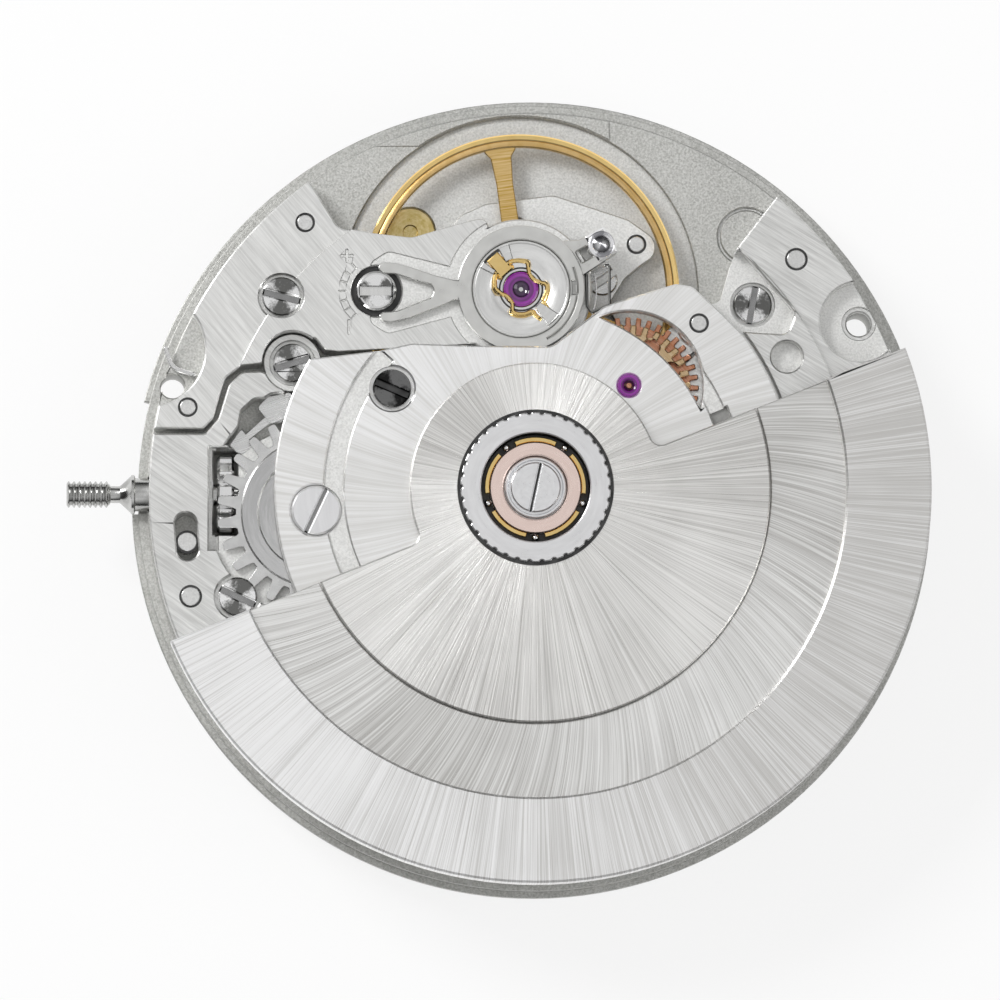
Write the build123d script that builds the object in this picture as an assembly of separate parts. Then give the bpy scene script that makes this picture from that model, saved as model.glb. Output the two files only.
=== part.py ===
"""Automatic wrist-watch movement, rotor side up, in millimetres.

The origin is on the hand axis at the dial seat. +Z points to the rotor and the winding stem to -X.
"""

import math
import os

from build123d import *

os.makedirs("parts", exist_ok=True)

# Casing sizes
casing_radius = 12.8
flange_lip = 0.2
flange_radius = casing_radius + flange_lip
flange_height = 0.5
shoulder_height = 1.1
casing_step = 0.3
upper_radius = casing_radius - casing_step
bridge_edge = 0.06
flange_notches = ((-2.7, 4.3), (166.0, 182.4))
works_share = 0.78125
works_radius = casing_radius * works_share

# Common clearances
running = 0.015
play = 0.04
wheel_gap = 0.06
pocket_gap = 0.22
side_gap = 0.12
overrun = 0.4

# Height levels above the dial seat
dial_recess_depth = 0.42
motion_recess_depth = 0.62
keyless_depth = 0.9
barrel_floor = 0.78
train_floor = 0.85
stem_height = 1.5
plate_over_stem = 0.25
plate_top = stem_height + plate_over_stem
fork_drop = 0.45
fork_floor = plate_top - fork_drop
balance_drop = 0.2
balance_floor = plate_top - balance_drop
ceiling_rise = 0.25
bridge_ceiling = plate_top + ceiling_rise
pallet_bridge_rise = 0.37
pallet_bridge_top = plate_top + pallet_bridge_rise
sweep_gap_below = 0.13
balance_rise = 0.53
balance_under = plate_top + balance_rise
sweep_floor = balance_under - sweep_gap_below
recess_rise = 0.8
recess_level = plate_top + recess_rise
recess_depth = 0.35
bridge_top = recess_level + recess_depth
step_rise = 0.3
step_top = bridge_top + step_rise
cock_gap = 0.1
cock_under = bridge_top + cock_gap
cock_sheet = 0.3
cock_top = cock_under + cock_sheet
auto_gap = 0.26
auto_under = bridge_top + auto_gap
auto_floor_sheet = 0.12
auto_floor = auto_under + auto_floor_sheet
auto_pocket_depth = 0.36
auto_pocket_top = auto_under + auto_pocket_depth
auto_sheet = 0.59
auto_top = auto_under + auto_sheet
web_gap = 0.15
web_under = auto_top + web_gap
web_band_sheet = 0.22
web_band_top = web_under + web_band_sheet
web_sheet = 0.4
web_top = web_under + web_sheet
weight_drop = 0.55
weight_under = web_under - weight_drop
weight_rise = 0.3
weight_top = web_top + weight_rise

# Stem and keyless works
stem_radius = 0.54
stem_core = 0.275
stem_thread = 0.43
stem_collar = 0.64
stem_tip_x = -1.51 * works_radius
stem_thread_end_x = -1.37 * works_radius
stem_cone_x = -1.335 * works_radius
stem_collar_x = -1.3 * works_radius
stem_collar_end_x = -1.29 * works_radius
stem_groove_x = -1.13 * works_radius
stem_groove_length = 0.036 * works_radius
stem_groove_radius = 0.34
stem_shoulder_x = -1.038 * works_radius
stem_square = 0.5
stem_pivot_x = -0.77 * works_radius
stem_pivot = 0.17
stem_end_x = -0.71 * works_radius
winding_teeth = 10
winding_tip = 1.3
winding_root = 0.88
winding_bore = 0.37
winding_x = -1.024 * works_radius
winding_length = 0.056 * works_radius
clutch_x = -0.95 * works_radius
clutch_length = 0.13 * works_radius
clutch_radius = 0.85
clutch_groove_radius = 0.56
clutch_groove_x = -0.9 * works_radius
clutch_groove_length = 0.03 * works_radius
clutch_teeth = 12
clutch_travel = 0.06 * works_radius
lever_sheet = 0.16
lever_level = 0.46
yoke_level = 0.66
stop_level = balance_under
lever_pin = 0.15
lever_post = 0.2
lever_pin_top = stem_height - stem_groove_radius - play
lever_width = 0.04 * works_radius
lever_hub = 0.036 * works_radius
yoke_width = 0.018 * works_radius

# Crown and ratchet wheels
ratchet_module = 0.0223 * works_radius
crown_teeth = 26
ratchet_teeth = 24
crown_disc = 0.242 * works_radius
crown_ring = 0.184 * works_radius
crown_disc_height = 0.12
crown_tooth_angle = 172.6
winding_gap = 0.07
winding_level = recess_level + winding_gap
winding_sheet = 0.24
crown_post = 0.095 * works_radius
ratchet_screw_head = 0.9
ratchet_seat_rise = 0.14
ratchet_seat = winding_level + ratchet_seat_rise
winding_addendum = 0.028 * works_radius
winding_dedendum = 0.032 * works_radius
click_pocket = 0.11 * works_radius
click_hub = 0.034 * works_radius
clutch_notch = 0.14

# Barrel and going train
barrel_distance = 0.79 * works_radius
barrel_teeth = 64
barrel_module = 0.0135 * works_radius
barrel_height = 0.86
barrel_wall = 0.016 * works_radius
barrel_flange = 0.24
barrel_base = 0.84
barrel_core = 0.11 * works_radius
barrel_pivot = 0.5
spring_low = 1.03
spring_high = 1.5
drum_top = 1.55
cover_top = 1.7
spiral_steps = 24
mainspring_turns = 6
mainspring_strip = 0.01 * works_radius
intermediate_distance = 0.46 * works_radius
intermediate_pinion = 8
intermediate_teeth = 64
intermediate_module = 0.0125 * works_radius
intermediate_level = 1.8
third_pinion = 8
third_teeth = 60
third_module = 0.011 * works_radius
third_level = 1.0
seconds_pinion = 8
seconds_teeth = 72
seconds_module = 0.0091 * works_radius
seconds_level = 1.3
escape_pinion = 6
escape_teeth = 20
escape_radius = 0.175 * works_radius
escape_depth = 0.032 * works_radius
escape_level = 1.5
escape_turn = 57.7
wheel_sheet = 0.12
arbor_radius = 0.2
pivot_radius = 0.08
pinion_pocket = 0.9
wheel_spokes = 4
spoke_hub = 0.075 * works_radius
spoke_turn = 12.0
bush_radius = 0.8
jewel_radius = 0.37
jewel_height = 0.2

# Balance, pallets and regulator
balance_rim = 0.516 * works_radius
balance_rim_width = 0.043 * works_radius
balance_height = 0.32
balance_arm_width = 0.06 * works_radius
balance_arm_sheet = 0.14
balance_arm_turn = 98.0
balance_arms = 3
balance_hub = 0.062 * works_radius
balance_arm_rise = 0.09
balance_arm_level = balance_under + balance_arm_rise
balance_arm_flare = 0.39 * works_radius
balance_arm_end = 0.49 * works_radius
sweep_gap = 0.026 * works_radius
staff_radius = 0.22
staff_pocket = 0.09 * works_radius
collet_radius = 0.045 * works_radius
roller_radius = 0.072 * works_radius
roller_level = 1.98
roller_sheet = 0.14
impulse_radius = 0.008 * works_radius
impulse_reach = 0.05 * works_radius
impulse_low = 1.52
fork_reach = 0.202 * works_radius
fork_to_balance = 0.24 * works_radius
fork_level = 1.66
fork_sheet = 0.12
fork_relief = 1.84
fork_arm = 0.024 * works_radius
fork_sweep = 0.29 * works_radius
fork_pocket = 0.15 * works_radius
fork_pocket_width = 0.29 * works_radius
stone_width = 0.2
hairspring_outer = 0.248 * works_radius
hairspring_turns = 8
hairspring_strip = 0.04
hairspring_height = 0.16
hairspring_gap = 0.12
hairspring_level = balance_under + balance_height + hairspring_gap
balance_pocket = 0.58 * works_radius
setting_radius = 0.158 * works_radius
setting_rise = 0.26
setting_top = cock_top + setting_rise
index_ring = 0.206 * works_radius
index_sheet = 0.13
index_gap = 0.01
index_level = cock_top + index_sheet + index_gap
index_arm = 0.034 * works_radius
stud_level = cock_top
shock_ring = 0.74
shock_wire = 0.13
shock_jewel = 0.5
shock_gap = 0.1
shock_level = cock_top - shock_gap
stud_reach = 0.297 * works_radius
stud_turn = 29.2
stud_block = 0.062 * works_radius
stud_rise = 0.48
stud_top = cock_top + stud_rise
stud_pin = 0.12
staff_top = cock_under + cock_gap
fork_head = 0.03 * works_radius
pallet_turn = 30.0
shock_recess = 0.92
shock_floor_rise = 0.12
shock_floor = cock_top + shock_floor_rise
shock_reach = 0.84
shock_lug_turn = 135.0
shock_leg_turns = (-30.0, -60.0)
eccentric_height = 0.3
eccentric_rise = 0.12
eccentric_seat = cock_top + eccentric_rise - eccentric_height
pallet_screw_head = 0.42
pallet_screw_depth = 0.2
pallet_screw_seat = pallet_bridge_top - pallet_screw_depth
arm_boss = 0.093 * works_radius
arm_boss_top = 2.6
strip_width = 0.14

# Automatic works
auto_radius = 0.84 * works_radius
auto_groove_outer = 0.68 * works_radius
auto_groove_inner = 0.618 * works_radius
auto_groove_depth = 0.12
window_inner = 0.595 * works_radius
lip_sheet = 0.13
lip_under = auto_top - lip_sheet
groove_turns = (138.0, 387.0)
hole_turn = 20.0
reverser_sheet = 0.13
reverser_pinion_phase = 0.0
rotor_gear_teeth = 42
reverser_upper_teeth = 30
reverser_upper_module = 0.0126 * works_radius
reverser_lower_teeth = 40
reverser_lower_module = 0.01095 * works_radius
reverser_turn = 48.0
reverser_holes = 9
reverser_hole = 0.028 * works_radius
reverser_hole_circle = 0.145 * works_radius
reverser_pinion = 8
reduction_teeth = 48
reduction_module = 0.014 * works_radius
reduction_pinion = 8
reduction_turn = -130.0
driving_teeth = 48
driving_module = 0.0175 * works_radius
driving_pinion = 8
lower_gap = 0.05
lower_level = bridge_top + lower_gap
upper_level = auto_floor + wheel_gap
lower_auto_gap = 0.02
lower_auto_top = bridge_top - lower_auto_gap
lower_auto_sheet = 0.2
lower_auto_under = lower_auto_top - lower_auto_sheet
lower_auto_width = 0.11 * works_radius
light_screw_head = 0.079 * works_radius
foot_radius = 0.07 * works_radius

# Rotor and its ball bearing
rotor_inset = 0.05
rotor_radius = casing_radius - rotor_inset
rotor_weight_inner = works_radius
rotor_rim_step = 0.55
rotor_weight_drop = rotor_weight_inner + rotor_rim_step
rotor_step_share = 0.76
rotor_step = works_radius * rotor_step_share
rotor_hub = 0.405 * works_radius
rotor_cut_turn = 22.0
rotor_cut_offset = 0.25
rotor_corner = 0.035 * works_radius
rotor_ring = 0.247 * works_radius
rotor_ring_sheet = 0.12
rotor_ring_notches = 38
notch_radius = 0.1
race_outer = 0.22 * works_radius
race_gap_outer = 0.174 * works_radius
inner_race = 0.148 * works_radius
inner_race_bore = 0.1 * works_radius
race_seat = web_under + play
ball_radius = 0.115
ball_circle = 0.161 * works_radius
ball_count = 5
ball_turn = 54.0
ball_rise = 0.2
ball_level = web_under + ball_rise
cage_inner = 0.152 * works_radius
cage_outer = 0.17 * works_radius
cage_foot = 0.03
cage_top = web_top - wheel_gap
cage_window = 15.0
rotor_slot_turn = 78.0
rotor_screw_head = 0.083 * works_radius
rotor_screw_top = web_top + rotor_ring_sheet
rotor_boss = 0.13 * works_radius

# Motion works and date
cannon_teeth = 12
minute_teeth = 36
motion_module = 0.01 * works_radius
motion_level = 0.46
minute_pinion = 10
hour_teeth = 40
hour_module = 0.0096 * works_radius
hour_level = 0.3
hour_sheet = 0.12
hour_date_teeth = 24
date_wheel_teeth = 48
date_module = 0.014 * works_radius
date_wheel_turn = 30.0
hour_pipe = 0.75
hour_bore = 0.595
hour_tip = -1.0
cannon_pipe = 0.58
cannon_seat = 0.45
cannon_seat_length = 0.41
cannon_bore = 0.3
cannon_tip = -1.45
seconds_pipe = 0.125
seconds_tip = -1.95
centre_tube = 0.28
centre_tube_bore = 0.145
centre_tube_tip = -1.3
motion_pocket = 0.24 * works_radius
setting_teeth = 26
transfer_teeth = 40
recess_wall = 1.7
recess_radius = casing_radius - recess_wall
date_ring_gap = 0.15
date_ring_outer = recess_radius - date_ring_gap
date_ring_share = 0.915
date_ring_inner = works_radius * date_ring_share
date_tooth_height = 0.4
date_tooth_tip = date_ring_inner - date_tooth_height
date_count = 31
date_level = 0.14
date_sheet = 0.08
date_ring_under = 0.1
date_ring_step = date_ring_inner + date_tooth_height
date_ring_rib = 0.13
date_finger = 0.39 * works_radius
date_finger_sheet = 0.06
guard_lap = 0.35
guard_radius = date_ring_inner + guard_lap
guard_sheet = 0.07
guard_bore = 0.235 * works_radius
guard_post = 0.6
guard_head = 0.42
guard_head_depth = 0.13
guard_shank = 0.2
guard_openings = ((150.0, 1.2), (-70.0, 1.5), (-155.0, 1.4))
hour_hub = 0.11 * works_radius
date_phase = 0.0
date_finger_turn = 75.0
jumper_pivot_turn = 135.0
jumper_inset = 1.55
jumper_distance = date_tooth_tip - jumper_inset
jumper_depth = 0.1
jumper_reach = date_tooth_tip + jumper_depth
jumper_turn = 118.0
jumper_spring_inset = 0.85
jumper_spring_distance = date_tooth_tip - jumper_spring_inset
jumper_spring_turn = 160.0
mesh_turn = 0.0
third_phase = 0.0
guard_post_turns = (95.0, -30.0, -110.0)
guard_post_share = 0.7
guard_post_distance = works_radius * guard_post_share

# Screws, pins and holes
screw_head = 0.62
screw_head_height = 0.3
screw_shank = 0.28
screw_slot = 0.16
screw_slot_depth = 0.14
screw_recess = 0.73
thread_depth = 0.7
pin_radius = 0.28
wide_pin_radius = 0.33
pin_depth = 0.5
dial_foot_radius = 0.4
dial_foot_depth = 0.7
dial_foot_inset = 1.0
dial_foot_distance = casing_radius - dial_foot_inset
dial_foot_turns = (62.0, 262.0)
casing_hole = 0.39
casing_sink = 0.54
casing_recess = 0.13 * works_radius
casing_recess_rise = 0.45
casing_recess_floor = plate_top + casing_recess_rise
blind_hole = 0.51
blind_depth = 0.5

# Screws of the cock, the arm, the barrel bridge and the train bridge, then the two farther ones
bridge_screw_seats = (2.7, 2.3, 2.6, 2.31, 2.6, 2.6)
bridge_screw_slots = (-14.0, 17.0, -25.0, 80.0, 35.0, 10.0)
dark_screw_slot = -23.0
light_screw_slot = 65.0

# Tooth form
addendum_share = 0.9
dedendum_share = 1.25
tip_share = 0.12
root_share = 0.3
rim_share = 3.2
spoke_share = 0.14

# Places and outlines as shares of the works radius
crown_axis_share = (-0.705, -0.07)
balance_axis_share = (-0.044, 0.652)
setting_axis_share = (-0.63, -0.05)
dark_screw_share = (-0.461, 0.325)
auto_pin_share = (0.53, 0.54)
auto_foot_share = (0.65, -0.41)
cock_screw_share = (-0.817, 0.631)
arm_screw_share = (-0.781, 0.419)
barrel_screw_share = (-0.957, -0.343)
train_screw_share = (0.709, 0.613)
far_train_screw_share = (0.86, -0.74)
far_barrel_screw_share = (-0.33, -1.12)
pallet_screw_share = (-0.06, 0.855)
cock_pins_share = ((-0.741, 0.873), (-1.119, 0.271))
barrel_pins_share = ((-1.108, -0.342), (0.16, -1.13))
train_pins_share = ((0.85, 0.759), (0.52, -1.06))
pallet_pin_share = (0.335, 0.815)
post_share = (-1.12, -0.165)
post_slot_shares = ((-1.125, -0.105), (-1.118, -0.19))
casing_hole_shares = ((1.056, 0.557), (-1.169, 0.351))
blind_hole_share = (0.817, 0.438)
mark_share = (0.694, 0.847)
bush_share = (-0.398, 0.858)
index_screw_share = (-0.511, 0.646)
setting_lever_shares = ((-1.045, 0.3), (-1.112, 0.0), (-0.93, 0.26))
setting_pin_end_share = (-1.202, 0.036)
yoke_shares = ((-0.855, 0.32), (-0.885, 0.0), (-0.92, 0.37))
stop_lever_shares = ((-0.83, 0.26), (-0.423, 0.252), (-0.955, 0.155))
click_shares = ((-0.71, -0.9), (-0.6684, -0.8695))
strip_shares = ((-1.19, 0.47), (-1.165, 0.41), (-1.1, 0.385))
barrel_bridge_shares = (
    (-1.35, 0.185), (-1.062, 0.185), (-1.02, 0.235), (-0.987, 0.344), (-0.943, 0.387),
    (-0.872, 0.389), (-0.801, 0.32), (-0.809, 0.304), (-0.904, 0.3), (-0.947, 0.261),
    (-0.955, 0.21), (-0.95, 0.16), (-0.8, 0.21), (-0.6, 0.245), (-0.44, 0.2),
    (-0.39, 0.1), (-0.275, -0.13), (0.045, -0.275), (0.08, -0.59), (0.26, -0.91),
    (0.37, -1.35), (-1.35, -1.35),
)
train_bridge_shares = (
    (0.85, 1.045), (0.659, 0.796), (0.635, 0.735), (0.6, 0.61), (0.52, 0.63), (0.47, 0.56),
    (0.43, 0.46), (0.34, 0.43), (0.04, 0.39), (-0.24, 0.33), (-0.375, 0.2), (-0.365, 0.12),
    (-0.26, -0.115), (0.062, -0.26), (0.097, -0.585), (0.277, -0.905), (0.39, -1.35),
    (1.4, -1.35), (1.4, 1.045),
)
train_recess_shares = (
    (0.658, 0.796), (0.847, 0.581), (0.8, 0.53), (0.658, 0.52), (0.59, 0.6), (0.635, 0.735)
)
pallet_bridge_shares = (
    (-0.274, 0.85), (-0.242, 0.905), (-0.156, 0.945), (0.065, 0.975), (0.308, 0.896), (0.397, 0.833),
    (0.397, 0.778), (0.342, 0.74), (0.296, 0.7), (0.253, 0.628), (0.225, 0.56), (0.22, 0.445),
    (0.06, 0.415), (0.05, 0.5), (0.12, 0.6), (0.14, 0.7), (0.06, 0.78), (-0.15, 0.8), (-0.25, 0.78),
)
cock_shares = (
    (-0.76, 1.06), (-0.632, 0.854), (-0.53, 0.835), (-0.396, 0.82), (-0.255, 0.863), (-0.15, 0.89),
    (-0.12, 0.48), (-0.206, 0.475), (-0.632, 0.45), (-0.677, 0.455), (-0.709, 0.497), (-0.886, 0.411),
    (-0.947, 0.411), (-0.998, 0.367), (-1.014, 0.315), (-1.036, 0.235), (-1.068, 0.202), (-1.4, 0.202),
    (-1.4, 1.06),
)
cock_cutout_share = (-1.25, 0.46)
cock_cutout_radius = 0.187 * works_radius
arm_recess_radius = 0.098 * works_radius
index_shares = (
    (-0.2, 0.646), (-0.33, 0.646), (-0.503, 0.738), (-0.42, 0.73), (-0.495, 0.552), (-0.42, 0.56),
)
index_recess_shares = (
    (-0.2, 0.76), (-0.44, 0.79), (-0.55, 0.72), (-0.55, 0.57), (-0.44, 0.5), (-0.2, 0.55)
)
auto_shares = (
    (-0.95, 0.39), (-0.717, 0.421), (-0.498, 0.448), (-0.398, 0.465), (-0.207, 0.465), (0.054, 0.463),
    (0.219, 0.59), (0.265, 0.609), (0.456, 0.668), (0.509, 0.659), (0.596, 0.58), (0.95, 0.22),
    (0.95, -0.95), (-0.95, -0.95),
)
keyless_shares = (
    (-1.24, -0.05), (-1.235, 0.1), (-1.12, 0.33), (-1.02, 0.42), (-0.9, 0.44), (-0.7, 0.42), (-0.7, 0.0),
    (-1.04, 0.0), (-1.06, -0.05),
)


def polar(radius, degrees):
    """Point at a distance and a direction from the hand axis."""
    return (radius * math.cos(math.radians(degrees)), radius * math.sin(math.radians(degrees)))


def shift(point, radius, degrees):
    """Point at a distance and a direction from another point."""
    step = polar(radius, degrees)
    return (point[0] + step[0], point[1] + step[1])


def direction(start, end):
    """Direction in degrees from one point to another."""
    return math.degrees(math.atan2(end[1] - start[1], end[0] - start[0]))


def third_point(a, b, from_a, from_b, side):
    """Point at given distances from two points, left of the line from a to b when side is 1."""
    span = math.dist(a, b)
    along = (from_a**2 - from_b**2 + span**2) / (2 * span)
    across = math.sqrt(from_a**2 - along**2) * side
    ux, uy = (b[0] - a[0]) / span, (b[1] - a[1]) / span
    return (a[0] + along * ux - across * uy, a[1] + along * uy + across * ux)


def spot(share):
    """Place from its shares of the works radius."""
    return (share[0] * works_radius, share[1] * works_radius)


def spots(shares):
    """Places from their shares of the works radius."""
    return [spot(share) for share in shares]


def pitch(teeth, module):
    """Pitch radius of a wheel."""
    return teeth * module / 2


def cyl(radius, low, high, place=(0, 0)):
    """Upright cylinder between two heights."""
    ends = (Align.CENTER, Align.CENTER, Align.MIN)
    return Pos(place[0], place[1], low) * Cylinder(radius, high - low, align=ends)


def tube(outer, inner, low, high, place=(0, 0)):
    """Upright tube between two heights."""
    return cyl(outer, low, high, place) - cyl(inner, low - overrun, high + overrun, place)


def slab(sketch, low, high):
    """Flat outline given thickness between two heights."""
    return extrude(Pos(0, 0, low) * sketch, high - low)


def outline(points, corner=0):
    """Closed outline with equally rounded corners."""
    face = make_face(Polyline(*points, close=True))
    return fillet(face.vertices(), corner) if corner else face


def disc(radius, place=(0, 0)):
    """Flat round outline at a place."""
    return Pos(place[0], place[1]) * Circle(radius)


def bar(start, end, width):
    """Flat bar with round ends between two points."""
    middle = ((start[0] + end[0]) / 2, (start[1] + end[1]) / 2)
    body = Pos(*middle) * Rot(0, 0, direction(start, end)) * Rectangle(math.dist(start, end), width)
    return body + disc(width / 2, start) + disc(width / 2, end)


def sector(outer, inner, start, end):
    """Ring sector between two directions."""
    middle = (start + end) / 2
    outer_arc = ThreePointArc(polar(outer, start), polar(outer, middle), polar(outer, end))
    inner_arc = ThreePointArc(polar(inner, end), polar(inner, middle), polar(inner, start))
    sides = [Line(polar(outer, end), polar(inner, end)), Line(polar(inner, start), polar(outer, start))]
    return make_face([outer_arc, sides[0], inner_arc, sides[1]])


def round_x(radius, start, end, height=stem_height):
    """Cylinder along the stem axis."""
    ends = (Align.CENTER, Align.CENTER, Align.MIN)
    return Pos(start, 0, height) * Rot(0, 90, 0) * Cylinder(radius, end - start, align=ends)


def box_between(low, high):
    """Box between two corners."""
    size = [high[i] - low[i] for i in range(3)]
    middle = [(high[i] + low[i]) / 2 for i in range(3)]
    return Pos(*middle) * Box(*size)


def gear_outline(teeth, tip, root, phase=0, full=False):
    """Toothed outline with straight flanks, on a flat root in full form, or a pointed one."""
    step = 360 / teeth
    points = []
    for index in range(teeth):
        middle = phase + index * step
        points += [polar(tip, middle - step * tip_share), polar(tip, middle + step * tip_share)]
        if full:
            points.append(polar(root, middle + step * root_share))
            points.append(polar(root, middle + step * (1 - root_share)))
        else:
            points.append(polar(root, middle + step / 2))
    return outline(points)


def mesh_phase(teeth_a, phase_a, teeth_b, angle):
    """Direction of one tooth of b so that it meshes with a, angle being the way from a to b."""
    return angle + 180 - (180 - teeth_a * (angle - phase_a)) / teeth_b


def gear(teeth, module, low, high, place=(0, 0), phase=0, full=False, spokes=0, hub=arbor_radius):
    """Toothed wheel, cut out between spokes where asked."""
    radius = pitch(teeth, module)
    tip, root = radius + module * addendum_share, radius - module * dedendum_share
    face = gear_outline(teeth, tip, root, phase, full)
    for index in range(spokes):
        start = phase + (index + spoke_share) * 360 / spokes
        face -= sector(
            radius - module * rim_share, hub, start, start + (1 - 2 * spoke_share) * 360 / spokes
        )
    return Pos(place[0], place[1], 0) * slab(face, low, high)


def jewel(place, low, outer=jewel_radius, bore=pivot_radius + running):
    """Bearing jewel with a pivot hole."""
    return tube(outer, bore, low, low + jewel_height, place)


def screw(place, seat, low, slot_turn=0, head=screw_head, height=screw_head_height):
    """Cheese-head screw on its seat, with a slot and a plain shank down to low."""
    top = seat + height
    slot = Pos(place[0], place[1], top) * Rot(0, 0, slot_turn) * Box(
        head * 3, screw_slot, screw_slot_depth * 2
    )
    return cyl(head, seat, top, place) - slot + cyl(screw_shank, low, seat, place)


def save(name, shape):
    """Write one sub-part."""
    export_step(shape, f"parts/{name}.step")


# Axes that follow from the wheels in mesh
crown_axis = spot(crown_axis_share)
balance_axis = spot(balance_axis_share)
setting_axis = spot(setting_axis_share)
crown_pitch = pitch(crown_teeth, ratchet_module)
ratchet_pitch = pitch(ratchet_teeth, ratchet_module)
barrel_pitch = pitch(barrel_teeth, barrel_module)
barrel_axis = third_point(crown_axis, (0, 0), crown_pitch + ratchet_pitch, barrel_distance, -1)
intermediate_axis = third_point(
    (0, 0), barrel_axis, intermediate_distance, pitch(
        barrel_teeth + intermediate_pinion, barrel_module
    ), 1
)
third_axis = third_point(
    (0, 0),
    intermediate_axis,
    pitch(third_teeth + seconds_pinion, third_module),
    pitch(intermediate_teeth + third_pinion, intermediate_module),
    1,
)
escape_axis = polar(pitch(seconds_teeth + escape_pinion, seconds_module), escape_turn)
fork_axis = third_point(escape_axis, balance_axis, fork_reach, fork_to_balance, -1)
motion_distance = pitch(cannon_teeth + minute_teeth, motion_module)
minute_axis = third_point((0, 0), intermediate_axis, motion_distance, motion_distance, 1)
transfer_axis = third_point(
    minute_axis,
    setting_axis,
    pitch(minute_teeth + transfer_teeth, motion_module),
    pitch(setting_teeth + transfer_teeth, motion_module),
    -1,
)
reverser_distance = pitch(rotor_gear_teeth + reverser_upper_teeth, reverser_upper_module)
reverser_a = polar(reverser_distance, reverser_turn)
reverser_b = third_point(
    (0, 0), reverser_a, reverser_distance, pitch(2 * reverser_lower_teeth, reverser_lower_module), -1
)
reduction_axis = shift(
    reverser_b, pitch(reverser_pinion + reduction_teeth, reduction_module), reduction_turn
)
driving_axis = third_point(
    reduction_axis,
    barrel_axis,
    pitch(reduction_pinion + driving_teeth, driving_module),
    pitch(driving_pinion + ratchet_teeth, ratchet_module),
    1,
)
date_wheel_axis = polar(pitch(hour_date_teeth + date_wheel_teeth, date_module), date_wheel_turn)
sweep_radius = balance_rim + sweep_gap
bridge_radius = upper_radius - bridge_edge
sky = weight_top + overrun
jumper_pivot = polar(jumper_distance, jumper_pivot_turn)
guard_posts = [polar(guard_post_distance, turn) for turn in guard_post_turns]
bridge_screws = [
    spot(share)
    for share in (
        cock_screw_share,
        arm_screw_share,
        barrel_screw_share,
        train_screw_share,
        far_train_screw_share,
        far_barrel_screw_share,
    )
]
cock_pins = [(spot(share), pin_radius) for share in cock_pins_share]
barrel_pins = [(spot(share), wide_pin_radius) for share in barrel_pins_share]
train_pins = [(spot(share), wide_pin_radius) for share in train_pins_share]
pallet_pin = (spot(pallet_pin_share), pin_radius)
plate_jewels = [third_axis, escape_axis, fork_axis]


def cut_all(body, cuts):
    """Body without each of the cuts."""
    for cut in cuts:
        body -= cut
    return body


def join_all(body, pieces):
    """Body with each of the pieces."""
    for piece in pieces:
        body += piece
    return body


def winding_pocket():
    """Space round the stem, the winding pinion and the sliding pinion."""
    half = winding_tip + wheel_gap
    start = winding_x - side_gap
    end = clutch_x + clutch_length + clutch_travel + side_gap
    space = box_between((start, -half, stem_height - half), (end, half, recess_level - side_gap))
    space += round_x(stem_radius + running, stem_tip_x, start)
    return space + round_x(stem_pivot + running, end, stem_end_x + side_gap)


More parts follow.
